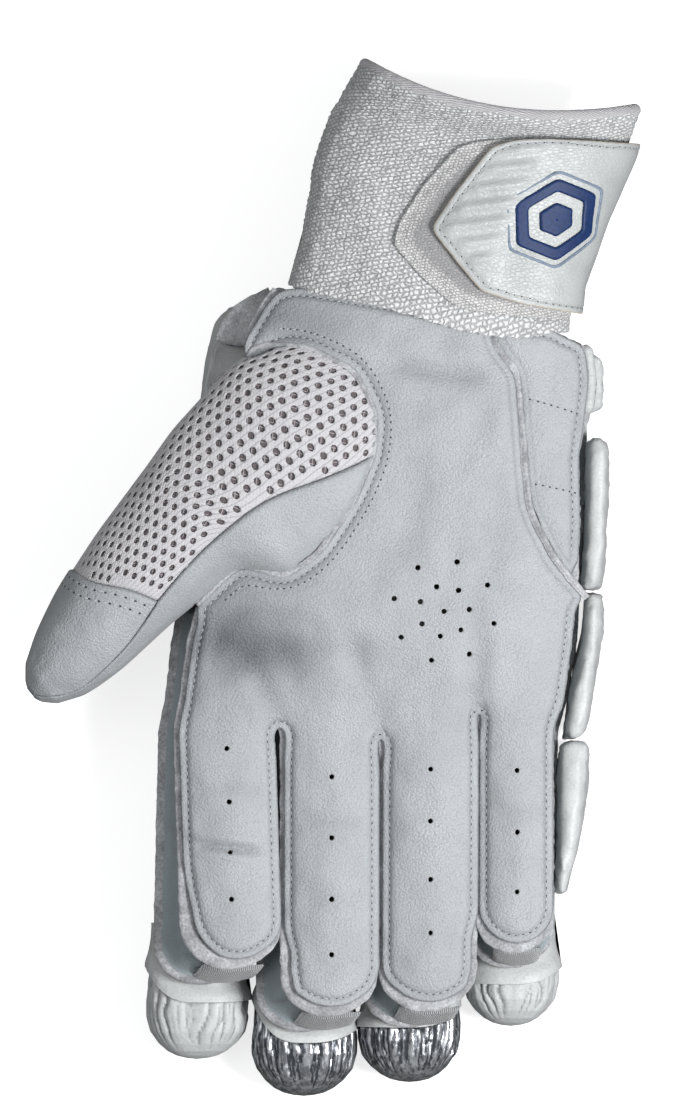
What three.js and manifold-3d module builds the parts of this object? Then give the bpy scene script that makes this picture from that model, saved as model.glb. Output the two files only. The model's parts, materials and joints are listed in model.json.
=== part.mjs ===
// A cricket batting glove for the right hand, lying on its padded back with the palm up.
// Millimetres. +Z is up out of the palm, +Y runs from the fingers to the cuff, +X to the little-finger side.
// The model is drawn with its zero at the finger roots, and moved at the end so that its zero is the middle of its foot.
import * as THREE from "three";
import { mergeVertices } from "three/addons/utils/BufferGeometryUtils.js";
import Module from "manifold-3d";

const wasm = await Module();
wasm.setup();

// Driving dimensions
const PALM_WIDTH = 113; // palm leather across the knuckles, seam edge to seam edge
const PALM_LENGTH = 128; // finger roots to the cuff, on the thumb side
const FINGER_LENGTH = 82; // finger roots to the end of the longest stall
const ROLL_DEPTH = 26; // foam rolls on the back, foot to top
const STALL_DEPTH = 16; // inside a finger stall at its seams
const FINGER_CROWN = 4.5; // rise of a stall's leather above its seams
const PALM_CROWN = 10; // rise of the palm leather above its seams
const WRIST_LIFT_START = 0.72; // of PALM_LENGTH, where that rise begins
const WRIST_LIFT = 9; // how far the back's edges turn up where the cuff begins
const LEATHER = 1.6; // palm leather
const BACKING = 2; // sheet that carries the rolls
const GUSSET = 1.2; // fabric side walls
const SEAM_EDGE = 2.4; // raw edge left outside a seam
const CLEARANCE = 0.3; // between pieces that are sewn together
const VENT_RADIUS = 0.75;
const CUFF_LENGTH = 68;
const CUFF_WALL = 2.6;
const CUFF_LEAN = 18; // degrees that the cuff leans towards the little finger
const CUFF_MOUTH_DEPTH = 50;
const CUFF_TUCK = 5; // how far the hand reaches up inside the cuff
const RIM_SCOOP = 7.5; // dip of the cuff's rim between its two corners
const STRAP_WIDTH = 51;
const STRAP_THICKNESS = 2.2;
const STRAP_REACH = 1.4; // how far it goes round the back, in shares of STRAP_WIDTH
const PATCH_THICKNESS = 1.2;
const THUMB_LENGTH = 137; // thumb stall from inside the palm to its tip
const THUMB_GIRTH = 62; // widest part of the thumb stall, where it leaves the palm
const THUMB_DEPTH = 31; // thumb stall through its thickest part
const THUMB_WALL = 2;
const THUMB_GUARD = 9; // foam on the back of the thumb
const ROLL_GAP = 1.6; // flex gap between two rolls
const ROLL_EDGE = 6.5; // rounding of a roll's long edges
const PLEATS = 10; // gathers round the end of a finger's roll
const PLEAT_DEPTH = 0.9;
const BOLSTER_THICKNESS = 7.6;
const BINDING_RADIUS = 2.2;
const WELT_WIDTH = 3;
const WELT_RISE = 1;
const TAB_THICKNESS = 1.2;
const TAB_SPREAD = 0.77; // breadth of a finger tab, as a share of its stall's

const BACK_UNDER = ROLL_DEPTH + CLEARANCE;
const BACK_TOP = BACK_UNDER + BACKING;
const SEAM_HEIGHT = BACK_TOP + STALL_DEPTH;
const FAR = 400; // beyond every piece, for cutting regions

// One row a finger, in shares of PALM_WIDTH across and of FINGER_LENGTH along. front is the leather, back the
// backing, and cap the roll's end. reach is the leather's end, capReach the roll's, and slit the root of the gap after it.
const FINGERS = [
  {
    name: "index",
    front: [-0.374, -0.355],
    back: [-0.418, -0.432],
    half: 0.1225,
    backHalf: 0.12,
    reach: 0.838,
    cap: -0.45,
    capHalf: 0.133,
    capReach: 1.174,
    slit: 0,
  },
  {
    name: "middle",
    front: [-0.104, -0.104],
    back: [-0.148, -0.17],
    half: 0.119,
    backHalf: 0.12,
    reach: 1.005,
    cap: -0.175,
    capHalf: 0.1345,
    capReach: 1.305,
    slit: -0.035,
  },
  {
    name: "ring",
    front: [0.15, 0.148],
    back: [0.122, 0.1],
    half: 0.12,
    backHalf: 0.118,
    reach: 0.988,
    cap: 0.0965,
    capHalf: 0.13,
    capReach: 1.256,
    slit: 0.056,
  },
  {
    name: "little",
    front: [0.371, 0.371],
    back: [0.37, 0.36],
    half: 0.094,
    backHalf: 0.107,
    reach: 0.78,
    cap: 0.357,
    capHalf: 0.122,
    capReach: 1.057,
    slit: 0,
  },
];

// The hand's two long edges, from the cuff down on the thumb side and from the fingers up on the other.
// Rows are shares of PALM_LENGTH along and of PALM_WIDTH across.
const THUMB_EDGE = [
  { along: 0.99, front: -0.243, back: -0.262 },
  { along: 0.95, front: -0.279, back: -0.354 },
  { along: 0.875, front: -0.319, back: -0.398 },
  { along: 0.8, front: -0.363, back: -0.416 },
  { along: 0.62, front: -0.389, back: -0.442 },
  { along: 0.45, front: -0.407, back: -0.46 },
  { along: 0.3, front: -0.43, back: -0.482 },
  { along: 0.2, front: -0.46, back: -0.504 },
  { along: 0.06, front: -0.482, back: -0.522 },
];
const OUTER_EDGE = [
  { along: 0.06, front: 0.491, back: 0.5 },
  { along: 0.2, front: 0.513, back: 0.527 },
  { along: 0.34, front: 0.527, back: 0.535 },
  { along: 0.47, front: 0.533, back: 0.544 },
  { along: 0.61, front: 0.529, back: 0.549 },
  { along: 0.7, front: 0.544, back: 0.551 },
  { along: 0.79, front: 0.556, back: 0.56 },
  { along: 0.867, front: 0.544, back: 0.548 },
];

// The opening that the thumb comes through, from its top round to its foot, in shares of the palm.
const THUMB_OPENING = [
  { across: -0.3, along: 0.868 },
  { across: -0.177, along: 0.865 },
  { across: -0.047, along: 0.812 },
  { across: 0.01, along: 0.711 },
  { across: 0.002, along: 0.617 },
  { across: -0.044, along: 0.52 },
  { across: -0.131, along: 0.402 },
  { across: -0.221, along: 0.343 },
  { across: -0.342, along: 0.372 },
  { across: -0.45, along: 0.28 },
];

// The seam between the palm and the heel panel, from the cuff down to the outer edge, in shares of the palm.
const HEEL_SEAM = [
  { across: 0.3, along: 0.96 },
  { across: 0.312, along: 0.866 },
  { across: 0.372, along: 0.805 },
  { across: 0.379, along: 0.722 },
  { across: 0.389, along: 0.609 },
  { across: 0.4, along: 0.5 },
  { across: 0.462, along: 0.386 },
  { across: 0.56, along: 0.285 },
];

// Vents in the palm: rings round a middle one, and rows down each finger. Shares of the palm, and of a finger's reach.
const VENT_CENTRE = { across: 0.184, along: 0.265 };
const VENT_RINGS = [
  { count: 7, radius: 0.065, turn: 4 },
  { count: 8, radius: 0.13, turn: -14 },
];
const FINGER_VENTS = {
  index: [0.085, 0.31, 0.52, 0.72],
  middle: [0.17, 0.385, 0.6, 0.795],
  ring: [0.145, 0.33, 0.54, 0.73],
  little: [0.19, 0.47, 0.74],
};

// Dents and swellings of the palm leather. Shares of the palm, rise in shares of PALM_CROWN.
const PALM_RELIEF = [
  { across: 0.16, along: 0.42, radius: 0.25, rise: -0.3 },
  { across: 0.45, along: 0.6, radius: 0.16, rise: 0.12 },
  { across: -0.3, along: 0.16, radius: 0.16, rise: 0.1 },
];
// The fold that runs across the palm just under the cuff.
const WRIST_FOLD = {
  from: { across: -0.16, along: 0.915 },
  to: { across: 0.34, along: 0.795 },
  width: 0.035,
  depth: 0.16,
};

// The thumb stall from inside the palm to its tip. along is a share of THUMB_LENGTH, half of THUMB_GIRTH and deep
// of THUMB_DEPTH; bow moves it sideways and rise lifts it, both in shares of THUMB_GIRTH.
const THUMB_SECTIONS = [
  { along: 0.03, half: 0.29, deep: 0.2, bow: 0.13, rise: 0 },
  { along: 0.11, half: 0.395, deep: 0.38, bow: 0.15, rise: 0 },
  { along: 0.22, half: 0.465, deep: 0.48, bow: 0.15, rise: 0 },
  { along: 0.42, half: 0.444, deep: 0.5, bow: 0.105, rise: 0 },
  { along: 0.49, half: 0.32, deep: 0.5, bow: 0.183, rise: -0.01 },
  { along: 0.68, half: 0.267, deep: 0.485, bow: 0.13, rise: -0.07 },
  { along: 0.82, half: 0.227, deep: 0.43, bow: 0.07, rise: -0.14 },
  { along: 0.91, half: 0.175, deep: 0.35, bow: 0.03, rise: -0.195 },
  { along: 0.97, half: 0.105, deep: 0.23, bow: 0.015, rise: -0.21 },
  { along: 1, half: 0.03, deep: 0.07, bow: 0.007, rise: -0.22 },
];
// The seams on the upper side of the thumb, along and across the stall in shares of its length and girth.
const MESH_SEAM = [
  { along: -0.02, side: -0.17 },
  { along: 0.137, side: -0.135 },
  { along: 0.234, side: -0.074 },
  { along: 0.337, side: 0.011 },
  { along: 0.404, side: 0.032 },
  { along: 0.51, side: 0.026 },
  { along: 0.577, side: 0.011 },
  { along: 0.669, side: -0.029 },
];
const TIP_SEAM = [
  { along: 0.669, side: -0.029 },
  { along: 0.69, side: 0.066 },
  { along: 0.715, side: 0.144 },
  { along: 0.747, side: 0.218 },
  { along: 0.769, side: 0.323 },
  { along: 0.757, side: 0.45 },
];
const INNER_SEAM = [
  { along: 0.669, side: -0.029 },
  { along: 0.774, side: -0.098 },
  { along: 0.847, side: -0.113 },
  { along: 0.916, side: -0.121 },
  { along: 0.965, side: -0.069 },
  { along: 1.04, side: 0.01 },
];

// Columns of foam over the back of the hand, in shares of PALM_WIDTH at their lower and upper ends.
const BACK_COLUMNS = [
  { name: "index", low: -0.41, high: -0.306, halfLow: 0.118, halfHigh: 0.121, top: 0.968 },
  { name: "middle", low: -0.144, high: -0.052, halfLow: 0.118, halfHigh: 0.103, top: 0.66 },
  { name: "ring", low: 0.124, high: 0.172, halfLow: 0.116, halfHigh: 0.105, top: 0.66 },
  { name: "little", low: 0.372, high: 0.402, halfLow: 0.108, halfHigh: 0.107, top: 0.66 },
];
const KNUCKLE_ROW_END = 0.3; // of PALM_LENGTH, where the rows over the knuckles stop

// A roll's side from its foot to its top: height in shares of its depth, inset in shares of ROLL_EDGE.
const ROLL_SIDE = [
  { height: 0, inset: 1 },
  { height: 0.18, inset: 0.2 },
  { height: 0.75, inset: 0 },
  { height: 1, inset: 0.5 },
];

// A finger roll's end, from its tip back: distance in shares of CAP_LENGTH, breadth and depth in shares of the roll's.
const CAP_LENGTH = 40;
const CAP_SECTIONS = [
  { back: 0, breadth: 0.2, depth: 0.22, pleat: 0.3 },
  { back: 0.045, breadth: 0.54, depth: 0.54, pleat: 1 },
  { back: 0.16, breadth: 0.85, depth: 0.86, pleat: 1 },
  { back: 0.36, breadth: 1, depth: 1.06, pleat: 0.9 },
  { back: 0.5, breadth: 0.96, depth: 1, pleat: 0 },
  { back: 1, breadth: 0.86, depth: 0.96, pleat: 0 },
];

// Foam blocks along the outer edge of the hand, from the wrist down, in shares of PALM_LENGTH; thick is a share of
// BOLSTER_THICKNESS, and taper the part of it lost towards the finger end.
const BOLSTERS = [
  { name: "bolster_upper", from: 0.652, to: 0.318, thick: 1, taper: 0 },
  { name: "bolster_middle", from: 0.3, to: -0.02, thick: 1.08, taper: 0.1 },
  { name: "bolster_lower", from: -0.035, to: -0.375, thick: 1.3, taper: 0.55 },
];

// The strap's free end on the palm side, in shares of STRAP_WIDTH from the cuff's outer corner at its foot:
// inward across the cuff and upward along it.
const STRAP_END = [
  { inward: -0.6, up: 0.12 },
  { inward: 0.16, up: 0.107 },
  { inward: 0.32, up: 0.11 },
  { inward: 0.547, up: 0.141 },
  { inward: 0.916, up: 0.428 },
  { inward: 0.937, up: 0.46 },
  { inward: 0.755, up: 0.965 },
  { inward: 0.62, up: 1.06 },
  { inward: 0.44, up: 1.12 },
  { inward: 0.227, up: 1.137 },
  { inward: -0.6, up: 1.15 },
];
const PATCH_OUTLINE = [
  { inward: 0.03, up: 0.07 },
  { inward: 0.418, up: 0.024 },
  { inward: 0.653, up: 0.024 },
  { inward: 0.875, up: 0.147 },
  { inward: 1.11, up: 0.32 },
  { inward: 1.12, up: 0.452 },
  { inward: 1.05, up: 0.7 },
  { inward: 0.93, up: 0.945 },
  { inward: 0.72, up: 1.04 },
  { inward: 0.03, up: 1.1 },
];

// Materials
const finish = (color, roughness, metalness = 0) => new THREE.MeshStandardMaterial({ color, roughness, metalness });
const PALM_LEATHER = finish(0xd5dadd, 0.62);
const WHITE_HIDE = finish(0xe4e6e6, 0.45);
const SILVER_HIDE = finish(0x8f959c, 0.3, 0.7);
const GUSSET_CLOTH = finish(0xa9adb1, 0.9);
const RAW_EDGE = finish(0x9a9fa4, 0.9);
const AIR_MESH = finish(0xcfd0d3, 0.85);
const CUFF_KNIT = finish(0xd6d6d6, 0.95);
const NAP = finish(0xdcdcdc, 0.95);
const STRAP_HIDE = finish(0xe9e9e8, 0.4);

// Small numeric helpers
const lerp = THREE.MathUtils.lerp;
const smooth = (value, from, to) => THREE.MathUtils.smoothstep(value, from, to);
const point = (x, y) => new THREE.Vector2(x, y);
const onPalm = (row) => point(row.across * PALM_WIDTH, row.along * PALM_LENGTH);

// Value of a column of a table at a given place, its rows being in order of the key.
function read(table, key, at, column) {
  const rows = table[0][key] < table[table.length - 1][key] ? table : [...table].reverse();
  if (at <= rows[0][key]) return rows[0][column];
  for (let i = 1; i < rows.length; i++) {
    if (at <= rows[i][key]) {
      const share = (at - rows[i - 1][key]) / (rows[i][key] - rows[i - 1][key]);
      return lerp(rows[i - 1][column], rows[i][column], share);
    }
  }
  return rows[rows.length - 1][column];
}

// Solids
// A closed geometry as a solid that can be joined and cut.
function solidOf(geometry) {
  const bare = geometry.clone();
  bare.deleteAttribute("normal");
  bare.deleteAttribute("uv");
  const merged = mergeVertices(bare, 1e-4);
  return new wasm.Manifold(
    new wasm.Mesh({
      numProp: 3,
      vertProperties: merged.attributes.position.array,
      triVerts: new Uint32Array(merged.index.array),
    }),
  );
}

function geometryOf(solid) {
  const made = solid.getMesh();
  const geometry = new THREE.BufferGeometry();
  geometry.setAttribute("position", new THREE.BufferAttribute(made.vertProperties, 3));
  geometry.setIndex(new THREE.BufferAttribute(made.triVerts, 1));
  geometry.computeVertexNormals();
  return geometry;
}

// The largest body of a solid, without the slivers that a cut leaves.
function mainBody(solid) {
  const bodies = solid.decompose();
  return bodies.reduce((best, body) => (body.volume() > best.volume() ? body : best), bodies[0]);
}

const joined = (...solids) => solids.reduce((sum, solid) => sum.add(solid));

// A straight-sided block over an outline, from one height to another.
function prism(outline, low = -FAR, high = FAR) {
  const shape = new THREE.Shape(outline);
  const geometry = new THREE.ExtrudeGeometry(shape, { depth: high - low, bevelEnabled: false });
  geometry.translate(0, 0, low);
  return solidOf(geometry);
}

// A skin through rings of points, each ring having as many, with flat ends.
function loft(rings) {
  const around = rings[0].length;
  const positions = rings.flat().flatMap((p) => [p.x, p.y, p.z]);
  const faces = [];
  for (let r = 0; r + 1 < rings.length; r++) {
    for (let i = 0; i < around; i++) {
      const j = (i + 1) % around;
      const [a, b, c, d] = [r * around + i, r * around + j, (r + 1) * around + j, (r + 1) * around + i];
      faces.push(a, b, c, a, c, d);
    }
  }
  const first = rings[0];
  const last = rings[rings.length - 1];
  endCap(first).forEach(([a, b, c]) => faces.push(c, b, a));
  endCap(last).forEach((face) => faces.push(...face.map((i) => i + (rings.length - 1) * around)));
  const geometry = new THREE.BufferGeometry();
  geometry.setAttribute("position", new THREE.BufferAttribute(new Float32Array(positions), 3));
  geometry.setIndex(faces);
  const solid = solidOf(geometry);
  if (solid.volume() >= 0) return solid;
  geometry.setIndex(faces.toReversed());
  return solidOf(geometry);
}

// The triangles that close a flat ring, turning the way the ring does.
function endCap(ring) {
  const normal = new THREE.Vector3();
  ring.forEach((p, i) => normal.add(new THREE.Vector3().crossVectors(p, ring[(i + 1) % ring.length])));
  normal.normalize();
  const across = new THREE.Vector3().subVectors(ring[Math.floor(ring.length / 2)], ring[0]);
  across.addScaledVector(normal, -across.dot(normal)).normalize();
  const up = new THREE.Vector3().crossVectors(normal, across);
  const flat = ring.map((p) => point(p.dot(across), p.dot(up)));
  return THREE.ShapeUtils.triangulateShape(flat, []);
}

// Places spaced evenly from one value to another.
const evenly = (from, to, count) => Array.from({ length: count + 1 }, (_, i) => lerp(from, to, i / count));

// A block under one surface and over another, on a grid of places.
function layer({ xs, ys, top, bottom }) {
  const positions = [];
  const faces = [];
  const columns = xs.length - 1;
  const rows = ys.length - 1;
  const at = (i, j, side) => (side * (columns + 1) + i) * (rows + 1) + j;
  for (const height of [bottom, top]) {
    for (const x of xs) {
      for (const y of ys) positions.push(x, y, height(x, y));
    }
  }
  const quad = (a, b, c, d) => faces.push(a, b, c, a, c, d);
  for (let i = 0; i < columns; i++) {
    for (let j = 0; j < rows; j++) {
      quad(at(i, j, 1), at(i + 1, j, 1), at(i + 1, j + 1, 1), at(i, j + 1, 1));
      quad(at(i, j, 0), at(i, j + 1, 0), at(i + 1, j + 1, 0), at(i + 1, j, 0));
    }
  }
  for (let i = 0; i < columns; i++) {
    quad(at(i, 0, 0), at(i + 1, 0, 0), at(i + 1, 0, 1), at(i, 0, 1));
    quad(at(i, rows, 1), at(i + 1, rows, 1), at(i + 1, rows, 0), at(i, rows, 0));
  }
  for (let j = 0; j < rows; j++) {
    quad(at(0, j, 1), at(0, j + 1, 1), at(0, j + 1, 0), at(0, j, 0));
    quad(at(columns, j, 0), at(columns, j + 1, 0), at(columns, j + 1, 1), at(columns, j, 1));
  }
  const geometry = new THREE.BufferGeometry();
  geometry.setAttribute("position", new THREE.BufferAttribute(new Float32Array(positions), 3));
  geometry.setIndex(faces);
  return solidOf(geometry);
}

// The height of a grid's own flat facets at any place.
function faceted({ xs, ys }, height) {
  const cell = (places, value) => {
    const found = places.findIndex((place, i) => i > 0 && value <= place);
    return THREE.MathUtils.clamp((found < 0 ? places.length : found) - 1, 0, places.length - 2);
  };
  return (x, y) => {
    const i = cell(xs, x);
    const j = cell(ys, y);
    const s = (x - xs[i]) / (xs[i + 1] - xs[i]);
    const t = (y - ys[j]) / (ys[j + 1] - ys[j]);
    const near = height(xs[i], ys[j]);
    const far = height(xs[i + 1], ys[j + 1]);
    if (s >= t) return near * (1 - s) + height(xs[i + 1], ys[j]) * (s - t) + far * t;
    return near * (1 - t) + height(xs[i], ys[j + 1]) * (t - s) + far * s;
  };
}

// A smooth flat curve through points, as evenly spaced points.
const curveThrough = (points, count) => new THREE.SplineCurve(points).getSpacedPoints(count);

// Each point of a flat line moved sideways, to the left of its direction.
function offsetLine(line, distance) {
  return line.map((p, i) => {
    const before = line[Math.max(i - 1, 0)];
    const after = line[Math.min(i + 1, line.length - 1)];
    const along = point(after.x - before.x, after.y - before.y).normalize();
    return point(p.x - along.y * distance, p.y + along.x * distance);
  });
}

// An upright wall along a flat line, for cutting a gap.
const curtain = (line, width) => prism([...offsetLine(line, width / 2), ...offsetLine(line, -width / 2).reverse()]);

// A strip laid along a flat line, between two heights that follow the surface under it.
function ribbon(line, inner, outer, low, high) {
  const near = offsetLine(line, inner);
  const far = offsetLine(line, outer);
  return loft(
    line.map((_, i) => [
      new THREE.Vector3(near[i].x, near[i].y, low(near[i].x, near[i].y)),
      new THREE.Vector3(far[i].x, far[i].y, low(far[i].x, far[i].y)),
      new THREE.Vector3(far[i].x, far[i].y, high(far[i].x, far[i].y)),
      new THREE.Vector3(near[i].x, near[i].y, high(near[i].x, near[i].y)),
    ]),
  );
}

// The hand's outlines
const tipRound = 0.78; // length of a stall's round end in shares of its half width
const sideSteps = 3;
const tipSteps = 6;
const backExtra = 0.06; // how much further than the leather the backing reaches, of FINGER_LENGTH

// A stall's middle line and half width at a height, in millimetres.
function stall(finger, side, y) {
  const share = THREE.MathUtils.clamp(-y / (finger.reach * FINGER_LENGTH), 0, 1);
  const [root, tip] = finger[side];
  const half = side === "front" ? finger.half : finger.backHalf;
  return { middle: lerp(root, tip, share) * PALM_WIDTH, half: half * PALM_WIDTH };
}

const stallEnd = (finger, side) => -(finger.reach + (side === "back" ? backExtra : 0)) * FINGER_LENGTH;

// Round one stall, from its root on the thumb side to its root on the other.
function stallOutline(index, side) {
  const finger = FINGERS[index];
  const end = stallEnd(finger, side);
  const { half } = stall(finger, side, end);
  const bend = end + half * tipRound;
  const rootBefore = index ? FINGERS[index - 1].slit * FINGER_LENGTH : 0;
  const rootAfter = index < FINGERS.length - 1 ? finger.slit * FINGER_LENGTH : 0;
  const flank = (root, sign) => (_, i) => {
    const y = lerp(root, bend, i / sideSteps);
    return point(stall(finger, side, y).middle + sign * half, y);
  };
  const round = Array.from({ length: tipSteps - 1 }, (_, i) => {
    const angle = Math.PI * (1 + (i + 1) / tipSteps);
    return point(stall(finger, side, end).middle + half * Math.cos(angle), bend + half * tipRound * Math.sin(angle));
  });
  return [
    ...Array.from({ length: sideSteps + 1 }, flank(rootBefore, -1)),
    ...round,
    ...Array.from({ length: sideSteps + 1 }, flank(rootAfter, 1)).reverse(),
  ];
}

// The top of the gap between two stalls.
function crotch(index, side) {
  const root = FINGERS[index].slit * FINGER_LENGTH;
  const right = stall(FINGERS[index], side, root);
  const left = stall(FINGERS[index + 1], side, root);
  return point((right.middle + right.half + left.middle - left.half) / 2, root + FINGER_LENGTH * 0.02);
}

const edgePoint = (row, side) => point(row[side] * PALM_WIDTH, row.along * PALM_LENGTH);
const leftEdgeAt = (y, side) => read(THUMB_EDGE, "along", y / PALM_LENGTH, side) * PALM_WIDTH;
const rightEdgeAt = (y, side) => read(OUTER_EDGE, "along", y / PALM_LENGTH, side) * PALM_WIDTH;

// The cuff: a leaning tube of rounded sections
const cuffLean = THREE.MathUtils.degToRad(CUFF_LEAN);
const cuffAxis = point(Math.sin(cuffLean), Math.cos(cuffLean));
const cuffFoot = {
  thumb: point(-0.216 * PALM_WIDTH, 1.004 * PALM_LENGTH),
  outer: point(0.505 * PALM_WIDTH, 0.897 * PALM_LENGTH),
};
// Rows up the cuff: half and shift are shares of its foot's half width, and flare goes from its foot's depth to its mouth's.
const CUFF_SECTIONS = [
  { up: 0, half: 1, flare: 0, shift: 0 },
  { up: 0.2, half: 0.957, flare: 0.15, shift: -0.03 },
  { up: 0.5, half: 0.985, flare: 0.5, shift: -0.044 },
  { up: 0.78, half: 1.01, flare: 0.82, shift: -0.02 },
  { up: 1, half: 0.99, flare: 1, shift: 0 },
];
const cuffAround = 22;

// One ring of the cuff, grown outward by a distance; a negative one gives its inside.
function cuffRing(row, grow, lower = 0) {
  const half = cuffFoot.outer.distanceTo(cuffFoot.thumb) / 2;
  const across = point(cuffFoot.outer.x - cuffFoot.thumb.x, cuffFoot.outer.y - cuffFoot.thumb.y).normalize();
  const middle = cuffFoot.thumb.clone().add(cuffFoot.outer).multiplyScalar(0.5);
  middle.addScaledVector(cuffAxis, row.up * CUFF_LENGTH - lower).addScaledVector(across, row.shift * half);
  const footHalfDepth = (wristTop() - BACK_UNDER) / 2 + CLEARANCE + CUFF_WALL;
  const footHeight = (wristTop() + BACK_UNDER) / 2;
  const halfDepth = lerp(footHalfDepth, CUFF_MOUTH_DEPTH / 2, row.flare);
  const height = lerp(footHeight, CUFF_MOUTH_DEPTH / 2 + ROLL_DEPTH * 0.2, row.flare);
  return Array.from({ length: cuffAround }, (_, i) => {
    const angle = (2 * Math.PI * i) / cuffAround;
    const scoop = row.up === 1 ? RIM_SCOOP * Math.sin(angle) ** 2 : 0;
    const out = (half * row.half + grow) * Math.cos(angle);
    const rounded = Math.sign(Math.sin(angle)) * Math.abs(Math.sin(angle)) ** 0.85;
    const spot = middle.clone().addScaledVector(across, out).addScaledVector(cuffAxis, -scoop);
    return new THREE.Vector3(spot.x, spot.y, height + (halfDepth + grow) * rounded);
  });
}

const cuffTube = (grow, extra = 0) =>
  loft([
    ...(extra ? [cuffRing(CUFF_SECTIONS[0], grow, extra)] : []),
    ...CUFF_SECTIONS.map((row) => cuffRing(row, grow)),
    ...(extra ? [cuffRing(CUFF_SECTIONS[CUFF_SECTIONS.length - 1], grow, -extra)] : []),
  ]);

// Heights of the leather and the backing
const wristTop = () => SEAM_HEIGHT + PALM_CROWN - LEATHER / 2;

function frontHeight(x, y) {
  const onHand = smooth(y, 0.02 * PALM_LENGTH, 0.26 * PALM_LENGTH);
  let finger = 0;
  for (const row of FINGERS) {
    const { middle, half } = stall(row, "front", y);
    const share = Math.abs(x - middle) / half;
    if (share < 1) finger = FINGER_CROWN * (1 - share ** 2.4);
  }
  const left = leftEdgeAt(y, "front");
  const right = rightEdgeAt(y, "front");
  const across = THREE.MathUtils.clamp(Math.abs((2 * x - left - right) / (right - left)), 0, 1);
  let palm = PALM_CROWN * (1 - across ** 2.5);
  for (const mound of PALM_RELIEF) {
    const centre = onPalm(mound);
    const away = point(x, y).distanceTo(centre) / (mound.radius * PALM_WIDTH);
    palm += mound.rise * PALM_CROWN * Math.exp(-(away ** 2));
  }
  palm -= WRIST_FOLD.depth * PALM_CROWN * foldShare(x, y);
  return SEAM_HEIGHT + lerp(finger, palm, onHand);
}

// 1 in the middle of the wrist fold, falling to 0 beside and beyond it.
function foldShare(x, y) {
  const from = onPalm(WRIST_FOLD.from);
  const run = onPalm(WRIST_FOLD.to).sub(from);
  const rel = point(x, y).sub(from);
  const along = rel.dot(run) / run.lengthSq();
  const beside = rel.addScaledVector(run, -along).length() / (WRIST_FOLD.width * PALM_WIDTH);
  const within = smooth(along, -0.15, 0.15) * (1 - smooth(along, 0.85, 1.15));
  return within * Math.exp(-(beside ** 2));
}

function backHeight(x, y) {
  const left = leftEdgeAt(y, "back");
  const right = rightEdgeAt(y, "back");
  const across = THREE.MathUtils.clamp(Math.abs((2 * x - left - right) / (right - left)), 0, 1);
  return BACK_TOP + WRIST_LIFT * smooth(y, WRIST_LIFT_START * PALM_LENGTH, 0.97 * PALM_LENGTH) * across ** 2.5;
}

// The grids that carry both, the leather's having a row of places for each stall's edges and crown
const sideEnds = [-0.56 * PALM_WIDTH, 0.6 * PALM_WIDTH];
const stallPlaces = FINGERS.flatMap((finger, i) => {
  const { middle, half } = stall(finger, "front", -FINGER_LENGTH / 2);
  const start = i ? -1 : -0.98;
  return [start, -0.6, 0, 0.6].map((share) => middle + share * half);
});
const fingerRows = evenly(-1.08 * FINGER_LENGTH, 0, 5);
const palmRows = evenly(0, 1.06 * PALM_LENGTH, 9).slice(1);
const leatherGrid = {
  xs: [sideEnds[0], ...stallPlaces, 0.465 * PALM_WIDTH, 0.52 * PALM_WIDTH, sideEnds[1]],
  ys: [...fingerRows, ...palmRows],
};
const backingGrid = {
  xs: evenly(...sideEnds, 6),
  ys: [-1.12 * FINGER_LENGTH, ...evenly(WRIST_LIFT_START * PALM_LENGTH, 1.06 * PALM_LENGTH, 3)],
};
const frontTop = faceted(leatherGrid, frontHeight);
const backTop = faceted(backingGrid, backHeight);
const frontUnder = (x, y) => frontTop(x, y) - LEATHER;
const backUnder = (x, y) => backTop(x, y) - BACKING;

// The whole outline of the leather or of the backing, with the tongue that goes up inside the cuff.
function handOutline(side) {
  const stalls = FINGERS.flatMap((_, i) => [
    ...stallOutline(i, side),
    ...(i < FINGERS.length - 1 ? [crotch(i, side)] : []),
  ]);
  const tuck = cuffAxis.clone().multiplyScalar(CUFF_TUCK);
  const inset = CUFF_WALL + 3 * CLEARANCE;
  const below = CLEARANCE * 3;
  const thumbCorner = cuffFoot.thumb.clone().add(point(inset, -below));
  const outerCorner = cuffFoot.outer.clone().add(point(-inset, -below));
  return [
    thumbCorner.clone().add(tuck).add(point(CLEARANCE, 0)),
    thumbCorner,
    ...THUMB_EDGE.map((row) => edgePoint(row, side)),
    ...stalls,
    ...OUTER_EDGE.map((row) => edgePoint(row, side)),
    outerCorner,
    outerCorner.clone().add(tuck).add(point(-CLEARANCE, 0)),
  ];
}


// The thumb stall
const thumbRoot = point(0.07 * PALM_WIDTH, 0.75 * PALM_LENGTH);
const thumbAim = point(-0.872 * PALM_WIDTH, 0.074 * PALM_LENGTH);
const thumbWay = thumbAim.clone().sub(thumbRoot).normalize();
const thumbSide = point(thumbWay.y, -thumbWay.x); // towards the cuff's side of the thumb
const thumbLevel = SEAM_HEIGHT + 1.6;
const thumbAround = 16;

const onThumb = (along, side) =>
  thumbRoot
    .clone()
    .addScaledVector(thumbWay, along * THUMB_LENGTH)
    .addScaledVector(thumbSide, side * THUMB_GIRTH);

function thumbRing(row, grow, deeper = 0) {
  const centre = onThumb(row.along, row.bow);
  const height = thumbLevel + row.rise * THUMB_DEPTH;
  return Array.from({ length: thumbAround }, (_, i) => {
    const angle = (2 * Math.PI * i) / thumbAround;
    const out = Math.max(row.half * THUMB_GIRTH + grow, 0.3) * Math.cos(angle);
    const below = Math.sin(angle) < 0 ? deeper : 0;
    const up = Math.max(row.deep * THUMB_DEPTH + grow + below, 0.3) * Math.sin(angle);
    const spot = centre.clone().addScaledVector(thumbSide, out);
    return new THREE.Vector3(spot.x, spot.y, height + up);
  });
}

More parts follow.
